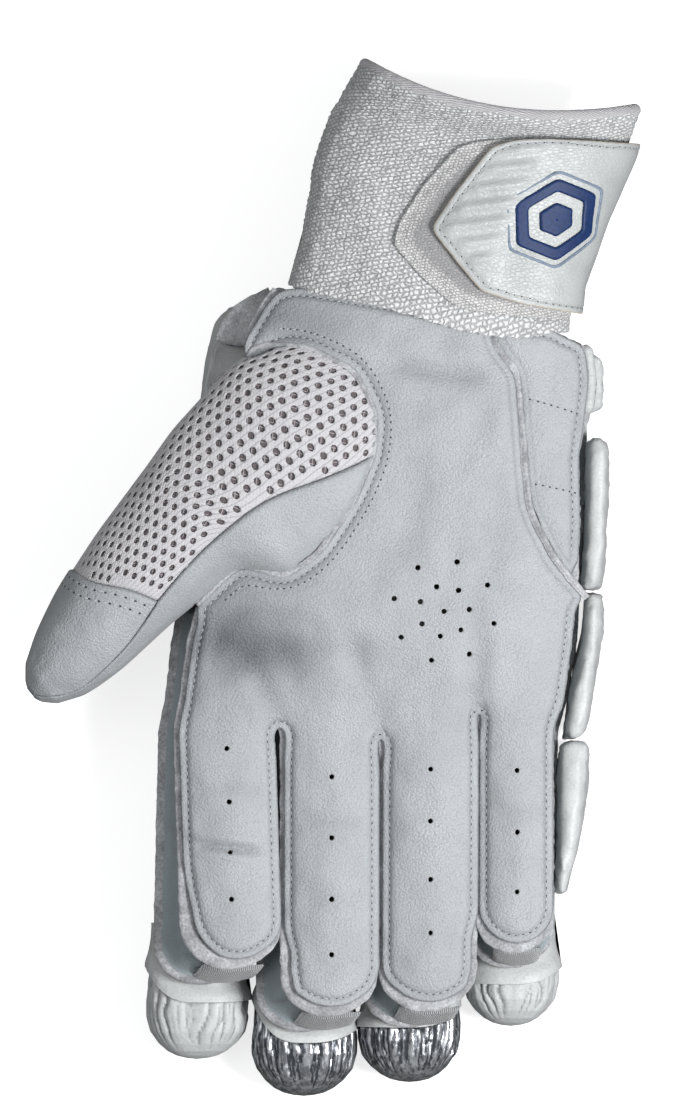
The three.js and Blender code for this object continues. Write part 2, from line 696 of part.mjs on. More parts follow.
// The stall grown outward, with its two ends moved out as well.
function thumbTube(grow, deeper = 0) {
  const shift = grow / THUMB_LENGTH;
  const last = THUMB_SECTIONS.length - 1;
  return loft(
    THUMB_SECTIONS.map((row, i) => {
      const moved = i === 0 ? -Math.abs(shift) : i >= last - 1 ? shift : 0;
      return thumbRing({ ...row, along: row.along + moved }, grow, deeper);
    }),
  );
}

// The height of the thumb's side seam, which falls towards its tip.
function thumbSplit(x, y) {
  const along = point(x, y).sub(thumbRoot).dot(thumbWay) / THUMB_LENGTH;
  return thumbLevel + read(THUMB_SECTIONS, "along", along, "rise") * THUMB_DEPTH;
}

const openingLine = curveThrough(THUMB_OPENING.map(onPalm), 20);
const openingRegion = (grow) => {
  const line = offsetLine(openingLine, grow);
  const first = line[0];
  const last = line[line.length - 1];
  return [...line, point(-PALM_WIDTH, last.y), point(-PALM_WIDTH, first.y)];
};
const handRegion = () => {
  const edge = curveThrough(
    THUMB_EDGE.map((row) => edgePoint(row, "back").sub(point(CLEARANCE, 0))),
    14,
  );
  return [point(PALM_WIDTH, edge[0].y), edge[0], ...edge.slice(1), point(PALM_WIDTH, edge[edge.length - 1].y)];
};

function thumbShell() {
  const hand = prism(handRegion());
  const handLow = prism(handRegion(), -FAR, SEAM_HEIGHT - LEATHER);
  const above = layer({
    xs: evenly(-0.5 * PALM_WIDTH, 0.1 * PALM_WIDTH, 4),
    ys: evenly(0.2 * PALM_LENGTH, PALM_LENGTH, 5),
    top: () => FAR,
    bottom: (x, y) => frontHeight(x, y) - LEATHER - 3 * CLEARANCE,
  });
  const tucked = prism(openingRegion(WELT_WIDTH / 2 + SEAM_EDGE));
  const shown = prism(openingRegion(-WELT_WIDTH / 2 - CLEARANCE));
  return thumbTube(0)
    .subtract(thumbTube(-THUMB_WALL))
    .subtract(handLow)
    .subtract(hand.subtract(tucked))
    .subtract(hand.intersect(above).subtract(shown));
}

// Pieces
const glove = new THREE.Group();
function addPiece(name, solid, material) {
  const mesh = new THREE.Mesh(geometryOf(solid), material);
  mesh.name = name;
  glove.add(mesh);
}

// The cuff wall, and the space that it and its strap take from the hand inside it
const cuffWall = cuffTube(0).subtract(cuffTube(-CUFF_WALL, 1));
const strapInner = 2 * CLEARANCE + PATCH_THICKNESS;
const strapOuter = strapInner + STRAP_THICKNESS;
const cuffSpace = cuffTube(strapOuter + CLEARANCE, CLEARANCE).subtract(cuffTube(-CUFF_WALL - CLEARANCE, 2));

// Palm leather, cut from one sheet with the heel panel
const heelLine = curveThrough(HEEL_SEAM.map(onPalm), 18);
const heelSide = prism([...heelLine, point(PALM_WIDTH, heelLine[18].y), point(PALM_WIDTH, heelLine[0].y)]);
const leatherSheet = layer({ ...leatherGrid, top: frontTop, bottom: frontUnder })
  .intersect(prism(handOutline("front")))
  .subtract(prism(openingRegion(WELT_WIDTH / 2 + CLEARANCE)))
  .subtract(cuffSpace)
  .subtract(curtain(heelLine, WELT_WIDTH + 2 * CLEARANCE));

function ventAt(spot) {
  const sides = 5;
  return prism(
    Array.from({ length: sides }, (_, i) => {
      const angle = (2 * Math.PI * i) / sides;
      return point(spot.x + VENT_RADIUS * Math.cos(angle), spot.y + VENT_RADIUS * Math.sin(angle));
    }),
    BACK_TOP,
    FAR,
  );
}

function ventSpots() {
  const centre = onPalm(VENT_CENTRE);
  const rings = VENT_RINGS.flatMap(({ count, radius, turn }) =>
    Array.from({ length: count }, (_, i) => {
      const angle = THREE.MathUtils.degToRad(turn + (360 * i) / count);
      const away = radius * PALM_WIDTH;
      return point(centre.x + away * Math.cos(angle), centre.y + away * Math.sin(angle));
    }),
  );
  const rows = FINGERS.flatMap((finger) =>
    FINGER_VENTS[finger.name].map((share) => {
      const y = -share * finger.reach * FINGER_LENGTH;
      return point(stall(finger, "front", y).middle, y);
    }),
  );
  return [centre, ...rings, ...rows];
}

const vents = ventSpots().map(ventAt);
addPiece("palm_leather", mainBody(leatherSheet.subtract(heelSide).subtract(joined(...vents))), PALM_LEATHER);
addPiece("heel_panel", mainBody(leatherSheet.intersect(heelSide)), PALM_LEATHER);

// Raised raw edges of the heel seam and round the thumb opening
const onHandOnly = prism(handOutline("front")).subtract(cuffSpace);
const heelWelt = ribbon(
  heelLine,
  -WELT_WIDTH / 2,
  WELT_WIDTH / 2,
  frontUnder,
  (x, y) => frontTop(x, y) + WELT_RISE,
);
addPiece("heel_welt", mainBody(heelWelt.intersect(onHandOnly)), RAW_EDGE);
const openingWelt = ribbon(
  openingLine,
  -WELT_WIDTH / 2,
  WELT_WIDTH / 2,
  frontUnder,
  (x, y) => frontTop(x, y) + WELT_RISE,
);
addPiece("thumb_opening_welt", mainBody(openingWelt.intersect(onHandOnly)), RAW_EDGE);

// Backing sheet under the hand and fingers
const backing = layer({ ...backingGrid, top: backTop, bottom: backUnder })
  .intersect(prism(handOutline("back")))
  .subtract(cuffSpace);
addPiece("back_panel", mainBody(backing), GUSSET_CLOTH);

// Gussets: upright fabric walls between the leather and the backing, with a seam edge at the top and at the foot
function gusset(fronts, backs) {
  const frontIn = offsetLine(fronts, SEAM_EDGE);
  const backIn = offsetLine(backs, SEAM_EDGE);
  const frontInner = offsetLine(fronts, SEAM_EDGE + GUSSET);
  const backInner = offsetLine(backs, SEAM_EDGE + GUSSET);
  const rings = fronts.map((front, i) => {
    const back = backs[i];
    const high = frontUnder(front.x, front.y) - 2 * CLEARANCE;
    const low = backTop(back.x, back.y) + 2 * CLEARANCE;
    const lip = Math.min(GUSSET, (high - low) / 3);
    const at = (spot, z) => new THREE.Vector3(spot.x, spot.y, z);
    return [
      at(front, high),
      at(frontInner[i], high),
      at(backInner[i], low),
      at(back, low),
      at(back, low + lip),
      at(backIn[i], low + lip),
      at(frontIn[i], high - lip),
      at(front, high - lip),
    ];
  });
  return loft(rings);
}

// The points of both outlines round one stall, from the middle of the gap before it to the middle of the next.
function stallPath(index) {
  const between = (i, side) => crotch(i, side).add(point(0, CLEARANCE));
  return ["front", "back"].map((side) => [
    ...(index ? [between(index - 1, side).add(point(CLEARANCE, 0))] : []),
    ...stallOutline(index, side),
    ...(index < FINGERS.length - 1 ? [between(index, side).sub(point(CLEARANCE, 0))] : []),
  ]);
}

const edgeRun = (table, from, to, side) =>
  table.filter((row) => row.along >= from && row.along <= to).map((row) => edgePoint(row, side));
const thumbSpace = thumbTube(CLEARANCE);
FINGERS.forEach((finger, index) => {
  let [fronts, backs] = stallPath(index);
  if (finger.name === "index") {
    fronts = [...edgeRun(THUMB_EDGE, 0, 0.5, "front"), ...fronts];
    backs = [...edgeRun(THUMB_EDGE, 0, 0.5, "back"), ...backs];
  }
  if (finger.name === "little") {
    fronts = [...fronts, ...edgeRun(OUTER_EDGE, 0, 0.87, "front")];
    backs = [...backs, ...edgeRun(OUTER_EDGE, 0, 0.87, "back")];
  }
  const wall = gusset(fronts, backs).subtract(thumbSpace).subtract(cuffSpace);
  addPiece(`gusset_${finger.name}`, mainBody(wall), GUSSET_CLOTH);
});
const wristGusset = gusset(edgeRun(THUMB_EDGE, 0.6, 0.99, "front"), edgeRun(THUMB_EDGE, 0.6, 0.99, "back"));
addPiece("gusset_wrist", mainBody(wristGusset.subtract(thumbSpace).subtract(cuffSpace)), GUSSET_CLOTH);

// Thumb: air mesh and leather above, leather below
const alongThumb = (rows) => curveThrough(rows.map((row) => onThumb(row.along, row.side)), 7);
const meshLine = alongThumb(MESH_SEAM);
const tipLine = alongThumb(TIP_SEAM);
const innerLine = alongThumb(INNER_SEAM);
const farSide = (along, side) => onThumb(along, side);
const meshRegion = prism([...meshLine, ...tipLine.slice(1), farSide(0.6, 2), farSide(-0.8, 2), farSide(-0.8, -0.1)]);
const tipRegion = prism([...tipLine, farSide(0.9, 1.2), farSide(1.5, 0.8), farSide(1.5, 0.05), ...innerLine.slice(1).reverse()]);
const shell = thumbShell();
const seams = joined(curtain(meshLine, CLEARANCE), curtain(tipLine, CLEARANCE), curtain(innerLine, CLEARANCE));
const thumbSpan = {
  xs: evenly(-PALM_WIDTH, 0.25 * PALM_WIDTH, 6),
  ys: evenly(-0.1 * PALM_LENGTH, 1.1 * PALM_LENGTH, 5),
};
const upperHalf = layer({ ...thumbSpan, top: () => FAR, bottom: (x, y) => thumbSplit(x, y) + CLEARANCE / 2 });
const lowerHalf = layer({ ...thumbSpan, top: (x, y) => thumbSplit(x, y) - CLEARANCE / 2, bottom: () => -FAR });
const upperShell = shell.intersect(upperHalf).subtract(seams);
addPiece("thumb_mesh", mainBody(upperShell.intersect(meshRegion)), AIR_MESH);
addPiece("thumb_tip", mainBody(upperShell.intersect(tipRegion)), PALM_LEATHER);
addPiece("thumb_side", mainBody(upperShell.subtract(meshRegion).subtract(tipRegion)), PALM_LEATHER);
addPiece("thumb_back", mainBody(shell.intersect(lowerHalf)), GUSSET_CLOTH);

// Foam on the back of the thumb, in two blocks
const guardReach = prism([farSide(0.42, -1), farSide(0.42, 1), farSide(0.985, 1), farSide(0.985, -1)]);
const guard = thumbTube(-0.6, THUMB_GUARD)
  .subtract(thumbSpace)
  .intersect(layer({ ...thumbSpan, top: (x, y) => thumbSplit(x, y) - 2, bottom: () => -FAR }))
  .intersect(guardReach)
  .subtract(prism(offsetLine(handRegion(), -2 * ROLL_GAP)));
const guardGap = curtain([farSide(0.7, -1), farSide(0.7, 0), farSide(0.7, 1)], ROLL_GAP);
const guardTipSide = prism([farSide(0.7, -1), farSide(0.7, 1), farSide(1.2, 1), farSide(1.2, -1)]);
addPiece("thumb_guard_tip", mainBody(guard.subtract(guardGap).intersect(guardTipSide)), WHITE_HIDE);
addPiece("thumb_guard_base", mainBody(guard.subtract(guardGap).subtract(guardTipSide)), WHITE_HIDE);

// Foam rolls, kept below the backing
const overBacking = layer({ ...backingGrid, top: () => FAR, bottom: (x, y) => backUnder(x, y) - CLEARANCE });
const onBacking = overBacking.intersect(prism(offsetLine(handOutline("back"), -CLEARANCE)));
const rollAround = 12;

// A rounded block of foam between two lines across the glove.
function roll(low, high, top = ROLL_DEPTH) {
  const edge = Math.min(ROLL_EDGE, low.half * 0.6, (high.y - low.y) * 0.35);
  return loft(
    ROLL_SIDE.map((level) =>
      Array.from({ length: rollAround }, (_, i) => {
        const angle = (2 * Math.PI * (i + 0.5)) / rollAround;
        const squared = (value) => Math.sign(value) * Math.abs(value) ** 0.42;
        const u = squared(Math.cos(angle));
        const v = (squared(Math.sin(angle)) + 1) / 2;
        const inset = level.inset * edge;
        const half = lerp(low.half, high.half, v) - inset;
        const y = lerp(low.y + inset, high.y - inset, v);
        const x = lerp(low.x, high.x, v) + u * half;
        return new THREE.Vector3(x, y, level.height === 1 ? top : level.height * ROLL_DEPTH);
      }),
    ),
  );
}

// The ends of the finger rolls, pleated round a dome
function capRing(finger, row) {
  const around = PLEATS * 2;
  const y = -finger.capReach * FINGER_LENGTH + row.back * CAP_LENGTH;
  const half = finger.capHalf * PALM_WIDTH * row.breadth;
  const middleHeight = ROLL_DEPTH * 0.49;
  return Array.from({ length: around }, (_, i) => {
    const angle = (2 * Math.PI * i) / around;
    const pleat = i % 2 ? PLEAT_DEPTH * row.pleat : 0;
    const squared = (value) => Math.sign(value) * Math.abs(value) ** 0.8;
    const out = (half - pleat) * squared(Math.cos(angle));
    const up = ((ROLL_DEPTH / 2) * row.depth - pleat) * squared(Math.sin(angle));
    return new THREE.Vector3(finger.cap * PALM_WIDTH + out, y, Math.max(middleHeight + up, 0));
  });
}

FINGERS.forEach((finger) => {
  const capBack = -finger.capReach * FINGER_LENGTH + CAP_LENGTH;
  const silver = finger.name === "middle" || finger.name === "ring";
  const cap = loft(CAP_SECTIONS.map((row) => capRing(finger, row))).subtract(onBacking);
  addPiece(`roll_end_${finger.name}`, mainBody(cap), silver ? SILVER_HIDE : WHITE_HIDE);
  const rootLine = 0.02 * PALM_LENGTH;
  const middleLine = (capBack + rootLine) / 2;
  const lineAt = (y) => ({ x: stall(finger, "back", y).middle, half: finger.backHalf * 0.955 * PALM_WIDTH, y });
  const spans = { outer: [capBack + ROLL_GAP, middleLine], inner: [middleLine + ROLL_GAP, rootLine] };
  for (const [place, [low, high]] of Object.entries(spans)) {
    addPiece(`roll_${place}_${finger.name}`, roll(lineAt(low), lineAt(high)), WHITE_HIDE);
  }
});

// Foam over the back of the hand
BACK_COLUMNS.forEach((column) => {
  const start = 0.02 * PALM_LENGTH + ROLL_GAP;
  const lineAt = (y) => {
    const share = (y - start) / (column.top * PALM_LENGTH - start);
    return {
      x: lerp(column.low, column.high, share) * PALM_WIDTH,
      half: lerp(column.halfLow, column.halfHigh, share) * PALM_WIDTH,
      y,
    };
  };
  const knuckleEnd = KNUCKLE_ROW_END * PALM_LENGTH;
  const spans = { knuckle: [start, knuckleEnd], hand: [knuckleEnd + ROLL_GAP, column.top * PALM_LENGTH] };
  for (const [place, [low, high]] of Object.entries(spans)) {
    const tall = column.top > WRIST_LIFT_START ? ROLL_DEPTH + WRIST_LIFT : ROLL_DEPTH;
    const block = roll(lineAt(low), lineAt(high), place === "hand" ? tall : ROLL_DEPTH);
    addPiece(`pad_${place}_${column.name}`, mainBody(block.subtract(overBacking)), WHITE_HIDE);
  }
});

// The ribbed bar across the wrist
const wristBarRibs = 3;
function wristBar() {
  const from = point(-0.165 * PALM_WIDTH, 0.79 * PALM_LENGTH);
  const to = point(0.6 * PALM_WIDTH, 0.78 * PALM_LENGTH);
  const half = 0.1 * PALM_LENGTH;
  const steps = 8;
  const edgeSteps = wristBarRibs * 4;
  return loft(
    Array.from({ length: steps + 1 }, (_, i) => {
      const share = i / steps;
      const end = Math.min(1, Math.min(share, 1 - share) * 6);
      const shrink = 0.6 + 0.4 * Math.sqrt(1 - (1 - end) ** 2);
      const x = lerp(from.x, to.x, share);
      const middle = lerp(from.y, to.y, share);
      const under = Array.from({ length: edgeSteps + 1 }, (_, j) => {
        const v = j / edgeSteps;
        const rib = Math.abs(Math.sin(Math.PI * wristBarRibs * v));
        const y = middle + (2 * v - 1) * half * shrink;
        const rise = ROLL_DEPTH * (0.5 - 0.34 * rib ** 0.6 * shrink);
        return new THREE.Vector3(x, y, rise);
      });
      const over = [1, 0.5, 0].map((v) => {
        const y = middle + (2 * v - 1) * half * shrink;
        return new THREE.Vector3(x, y, backUnder(x, y) - 3 * CLEARANCE);
      });
      return [...under, ...over];
    }),
  );
}
addPiece("wrist_bar", wristBar(), WHITE_HIDE);

// Foam blocks along the outer edge, standing beside the gusset
function outerFace(y) {
  if (y > 0) return Math.max(rightEdgeAt(y, "front"), rightEdgeAt(y, "back"));
  const little = FINGERS[FINGERS.length - 1];
  const front = stall(little, "front", y);
  const back = stall(little, "back", y);
  const stallSide = Math.max(front.middle + front.half, back.middle + back.half);
  return Math.max(stallSide, lerp(OUTER_EDGE[0].front * PALM_WIDTH, stallSide, smooth(-y, 0, 0.1 * PALM_LENGTH)));
}

function bolster({ from, to, thick, taper }) {
  const around = 10;
  const steps = 6;
  const low = ROLL_DEPTH * 0.1;
  const high = SEAM_HEIGHT - LEATHER;
  return loft(
    Array.from({ length: steps + 1 }, (_, i) => {
      const share = i / steps;
      const y = lerp(from, to, share) * PALM_LENGTH;
      const end = Math.min(1, Math.min(share, 1 - share) * 5);
      const round = 0.45 + 0.55 * Math.sqrt(1 - (1 - end) ** 2);
      const full = thick * BOLSTER_THICKNESS * (1 - taper * smooth(share, 0.35, 1));
      const half = (full * (0.75 + 0.25 * round)) / 2;
      const tall = ((high - low) / 2) * (0.86 + 0.14 * round);
      return Array.from({ length: around }, (_, j) => {
        const angle = (2 * Math.PI * (j + 0.5)) / around;
        const squared = (value) => Math.sign(value) * Math.abs(value) ** 0.5;
        const x = outerFace(y) + CLEARANCE + half + half * squared(Math.cos(angle));
        return new THREE.Vector3(x, y, (low + high) / 2 + tall * squared(Math.sin(angle)));
      });
    }),
  );
}
BOLSTERS.forEach((row) => addPiece(row.name, bolster(row), WHITE_HIDE));

// The bound edge between the heel panel and the wrist bar, sewn along the gusset's wall
function wristBinding() {
  const level = 0.6; // of the way from the backing up to the seam
  const line = [0.87, 0.83, 0.79, 0.75, 0.71].map((share) => {
    const y = share * PALM_LENGTH;
    const wall = lerp(rightEdgeAt(y, "back"), rightEdgeAt(y, "front"), level) - SEAM_EDGE;
    return new THREE.Vector3(wall + BINDING_RADIUS + CLEARANCE, y, lerp(BACK_TOP, SEAM_HEIGHT, level));
  });
  const shape = new THREE.Shape().absarc(0, 0, BINDING_RADIUS, 0, 2 * Math.PI);
  const path = new THREE.CatmullRomCurve3(line);
  return solidOf(new THREE.ExtrudeGeometry(shape, { steps: 6, curveSegments: 4, extrudePath: path }));
}
addPiece("wrist_binding", wristBinding(), WHITE_HIDE);

// Tabs from the end of each stall down to its roll
FINGERS.forEach((finger) => {
  const frontEnd = stallEnd(finger, "front");
  const backEnd = stallEnd(finger, "back");
  const top = { y: frontEnd + SEAM_EDGE * 0.3, z: SEAM_HEIGHT - LEATHER - GUSSET - 3 * CLEARANCE };
  const foot = { y: backEnd - CLEARANCE, z: BACK_UNDER + BACKING / 2 };
  const front = stall(finger, "front", frontEnd).middle;
  const middle = (front + stall(finger, "back", backEnd).middle) / 2;
  const half = finger.half * PALM_WIDTH * TAB_SPREAD;
  const rings = [-1, -0.5, 0, 0.5, 1].map((u) => {
    const bulge = TAB_THICKNESS * (1 - u * u);
    const side = u * half;
    return [
      new THREE.Vector3(front + side, top.y - bulge, top.z),
      new THREE.Vector3(middle + side, foot.y - bulge, foot.z),
      new THREE.Vector3(middle + side, foot.y - bulge - TAB_THICKNESS, foot.z),
      new THREE.Vector3(front + side, top.y - bulge - TAB_THICKNESS, top.z),
    ];
  });
  addPiece(`tab_${finger.name}`, loft(rings), WHITE_HIDE);
});

// Cuff, nap patch and strap
addPiece("cuff", cuffWall, CUFF_KNIT);

const inwardAxis = cuffFoot.thumb.clone().sub(cuffFoot.outer).normalize();
const onCuff = (row) =>
  cuffFoot.outer
    .clone()
    .addScaledVector(inwardAxis, row.inward * STRAP_WIDTH)
    .addScaledVector(cuffAxis, row.up * STRAP_WIDTH);
const cuffMiddle = (SEAM_HEIGHT + BACK_UNDER) / 2 - ROLL_DEPTH * 0.2;
const patchShell = cuffTube(CLEARANCE + PATCH_THICKNESS, 1).subtract(cuffTube(CLEARANCE, 2));
addPiece(
  "nap_patch",
  mainBody(patchShell.intersect(prism(PATCH_OUTLINE.map(onCuff), cuffMiddle))),
  NAP,
);

const strapShell = cuffTube(strapOuter, 1).subtract(cuffTube(strapInner, 2));
const STRAP_BACK = [
  { inward: -0.6, up: 0.12 },
  { inward: STRAP_REACH, up: 0.14 },
  { inward: STRAP_REACH, up: 1.12 },
  { inward: -0.6, up: 1.15 },
];
const strapFront = strapShell.intersect(prism(STRAP_END.map(onCuff), cuffMiddle - 1));
const strapBehind = strapShell.intersect(prism(STRAP_BACK.map(onCuff), -FAR, cuffMiddle));
addPiece("strap", mainBody(strapFront.add(strapBehind)), STRAP_HIDE);

// Zero at the middle of the foot
const bounds = new THREE.Box3().setFromObject(glove);
const centre = bounds.getCenter(new THREE.Vector3());
glove.position.set(-centre.x, -centre.y, -bounds.min.z);

export default glove;
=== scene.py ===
"""A batting glove for the right hand, lying palm up, in leather, air mesh, knit and foam."""

from __future__ import annotations

import json
import logging
import math
import random
from dataclasses import dataclass, field
from enum import Enum
from typing import Callable, Iterable, Sequence

import bmesh
import bpy
import numpy as np
from mathutils import Matrix, Vector, noise
from mathutils.bvhtree import BVHTree
from mathutils.geometry import delaunay_2d_cdt

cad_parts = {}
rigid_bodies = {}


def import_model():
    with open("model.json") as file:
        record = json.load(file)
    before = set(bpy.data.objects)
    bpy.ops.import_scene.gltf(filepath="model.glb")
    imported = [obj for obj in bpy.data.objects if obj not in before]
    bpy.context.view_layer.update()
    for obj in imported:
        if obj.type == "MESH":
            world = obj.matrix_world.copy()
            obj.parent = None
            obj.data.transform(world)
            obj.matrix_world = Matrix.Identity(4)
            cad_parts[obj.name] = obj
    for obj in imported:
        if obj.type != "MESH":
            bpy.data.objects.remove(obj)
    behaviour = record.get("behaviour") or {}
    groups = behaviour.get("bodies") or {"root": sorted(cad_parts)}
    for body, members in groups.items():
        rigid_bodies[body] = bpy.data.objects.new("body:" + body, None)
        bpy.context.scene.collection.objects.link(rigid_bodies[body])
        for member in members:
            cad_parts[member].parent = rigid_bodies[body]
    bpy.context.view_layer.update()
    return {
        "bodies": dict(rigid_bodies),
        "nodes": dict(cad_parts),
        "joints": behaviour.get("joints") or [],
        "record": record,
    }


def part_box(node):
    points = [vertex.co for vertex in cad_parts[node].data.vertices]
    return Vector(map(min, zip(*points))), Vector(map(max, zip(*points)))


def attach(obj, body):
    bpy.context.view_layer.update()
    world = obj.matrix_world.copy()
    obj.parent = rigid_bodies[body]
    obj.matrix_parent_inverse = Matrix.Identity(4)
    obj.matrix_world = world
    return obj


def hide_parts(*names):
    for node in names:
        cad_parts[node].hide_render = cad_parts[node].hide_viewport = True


LOG = logging.getLogger("glove")

# The glove is drawn in millimetres from its finger roots; the frame's zero is the middle of its foot.
ORIGIN = Vector((10.625, -43.053, 0.0))
TO_FRAME = Matrix.Scale(0.001, 4) @ Matrix.Translation(ORIGIN)
TO_DRAWING = TO_FRAME.inverted()

PALM_WIDTH = 113.0
PALM_LENGTH = 128.0
FINGER_LENGTH = 82.0
ROLL_DEPTH = 26.0
SEAM_HEIGHT = 44.3
LEATHER = 1.6
SEAM_EDGE = 2.4
SURFACE = 0.85  # share of the leather's thickness that a laid panel takes up
TIP_ROUND = 0.78  # length of a stall's round end, in shares of its half width
BACK_EXTRA = 0.06  # how much further than the leather the backing reaches, in shares of FINGER_LENGTH
STITCH_INSET = 2.2
ABOVE = 200.0  # over the whole glove, where the rays that read heights start
DOWN = Vector((0.0, 0.0, -1.0))
HOLE_SIDES = 8
HOLE_CLEAR = 1.75  # kept free of other points round a hole, in radii
HALO = 1.4  # a ring of points round each hole, in radii
HALO_TURN = 0.39  # turns that ring by half a side
MESH_PITCH = 3.7
MESH_TURN = math.radians(51)  # brings the rows of holes in line with the palm's own length

Line = np.ndarray
Place = Callable[[float, float], Vector]
Colour = tuple[float, float, float]
Mesh = bmesh.types.BMesh
Material = bpy.types.Material
Socket = bpy.types.NodeSocket


class Side(Enum):
    """The palm side and the back side of the hand."""

    FRONT = 0
    BACK = 1


@dataclass(frozen=True)
class Finger:
    """One finger, in shares of PALM_WIDTH across and of FINGER_LENGTH along."""

    name: str
    middles: tuple[tuple[float, float], tuple[float, float]]
    halves: tuple[float, float]
    reach: float
    cap: float
    cap_half: float
    cap_reach: float
    slit: float


FINGERS = (
    Finger("index", ((-0.374, -0.355), (-0.418, -0.432)), (0.1225, 0.12), 0.838, -0.45, 0.133, 1.174, 0.0),
    Finger(
        "middle", ((-0.104, -0.104), (-0.148, -0.17)), (0.119, 0.12), 1.005, -0.175, 0.1345, 1.305, -0.035
    ),
    Finger("ring", ((0.15, 0.148), (0.122, 0.1)), (0.12, 0.118), 0.988, 0.0965, 0.13, 1.256, 0.056),
    Finger("little", ((0.371, 0.371), (0.37, 0.36)), (0.094, 0.107), 0.78, 0.357, 0.122, 1.057, 0.0),
)

# The hand's long edges: share of PALM_LENGTH along, then shares of PALM_WIDTH across in front and behind.
THUMB_EDGE = (
    (0.99, -0.243, -0.262),
    (0.95, -0.279, -0.354),
    (0.875, -0.319, -0.398),
    (0.8, -0.363, -0.416),
    (0.62, -0.389, -0.442),
    (0.45, -0.407, -0.46),
    (0.3, -0.43, -0.482),
    (0.2, -0.46, -0.504),
    (0.06, -0.482, -0.522),
)
OUTER_EDGE = (
    (0.06, 0.491, 0.5),
    (0.2, 0.513, 0.527),
    (0.34, 0.527, 0.535),
    (0.47, 0.533, 0.544),
    (0.61, 0.529, 0.549),
    (0.7, 0.544, 0.551),
    (0.79, 0.556, 0.56),
    (0.867, 0.544, 0.548),
)
THUMB_OPENING = (
    (-0.3, 0.868),
    (-0.177, 0.865),
    (-0.047, 0.812),
    (0.01, 0.711),
    (0.002, 0.617),
    (-0.044, 0.52),
    (-0.131, 0.402),
    (-0.221, 0.343),
    (-0.342, 0.372),
    (-0.45, 0.28),
)
HEEL_SEAM = (
    (0.3, 0.96),
    (0.312, 0.866),
    (0.372, 0.805),
    (0.379, 0.722),
    (0.389, 0.609),
    (0.4, 0.5),
    (0.462, 0.386),
    (0.56, 0.285),
)


def lerp(start: float, end: float, share: float) -> float:
    """The value a share of the way from start to end."""
    return start + (end - start) * share


def smooth(value: float | np.ndarray, start: float, end: float) -> float | np.ndarray:
    """0 before start, 1 after end, and an easy curve between."""
    share = np.clip((value - start) / (end - start), 0.0, 1.0)
    return share * share * (3 - 2 * share)


def grain(x: float, y: float, z: float = 0.0, octaves: int = 2) -> float:
    """Smooth unevenness at a place, from about -1 to 1."""
    return noise.fractal(Vector((x, y, z)), 0.8, 2.1, octaves)


def on_palm(row: tuple[float, float]) -> tuple[float, float]:
    """A place on the palm given in shares of its width and length."""
    return row[0] * PALM_WIDTH, row[1] * PALM_LENGTH


# Flat lines


def resample(line: Line, spacing: float, closed: bool = False) -> Line:
    """A line's points spaced evenly.

    Args:
        line: Points, a row each.
        spacing: Wanted distance between points.
        closed: Whether the last point joins the first.

    Returns:
        The new points; a closed line doesn't repeat its first.
    """
    path = np.vstack([line, line[:1]]) if closed else line
    lengths = np.concatenate([[0.0], np.cumsum(np.linalg.norm(np.diff(path, axis=0), axis=1))])
    count = max(2, round(lengths[-1] / spacing))
    places = np.linspace(0, lengths[-1], count + 1)
    made = np.column_stack([np.interp(places, lengths, path[:, k]) for k in range(path.shape[1])])
    return made[:-1] if closed else made


def eased(line: Line, passes: int, closed: bool = False) -> Line:
    """A line with its corners softened, its ends kept when it is open."""
    made = line.astype(float).copy()
    for _ in range(passes):
        if closed:
            made = 0.5 * made + 0.25 * (np.roll(made, 1, axis=0) + np.roll(made, -1, axis=0))
        else:
            made[1:-1] = 0.5 * made[1:-1] + 0.25 * (made[:-2] + made[2:])
    return made


def evened(values: Iterable[float], passes: int, closed: bool = False) -> np.ndarray:
    """A row of values with its steps softened."""
    return eased(np.array(list(values), float)[:, None], passes, closed)[:, 0]


def curve_through(points: Sequence[tuple[float, float]], spacing: float) -> Line:
    """A smooth line through a few places."""
    return eased(resample(eased(resample(np.array(points, float), spacing * 2), 2), spacing), 6)


def sideways(line: Line, closed: bool = False) -> Line:
    """The direction to the left of a flat line at each of its points."""
    if closed:
        run = np.roll(line, -1, axis=0) - np.roll(line, 1, axis=0)
    else:
        run = np.gradient(line, axis=0)
    run = run / np.maximum(np.linalg.norm(run, axis=1, keepdims=True), 1e-9)
    return np.column_stack([-run[:, 1], run[:, 0]])


def turned_left(line: Line) -> Line:
    """A closed line, turned so that it goes round with its inside on the left."""
    x, y = line[:, 0], line[:, 1]
    area = np.sum(x * np.roll(y, -1) - np.roll(x, -1) * y)
    return line if area > 0 else line[::-1].copy()


def inside(points: np.ndarray, outline: Line) -> np.ndarray:
    """Which points lie inside a closed line."""
    held = np.zeros(len(points), bool)
    x, y = points[:, 0], points[:, 1]
    ends = np.roll(outline, -1, axis=0)
    for (ax, ay), (bx, by) in zip(outline, ends):
        if ay == by:
            continue
        held ^= ((ay > y) != (by > y)) & (x < (bx - ax) * (y - ay) / (by - ay) + ax)
    return held


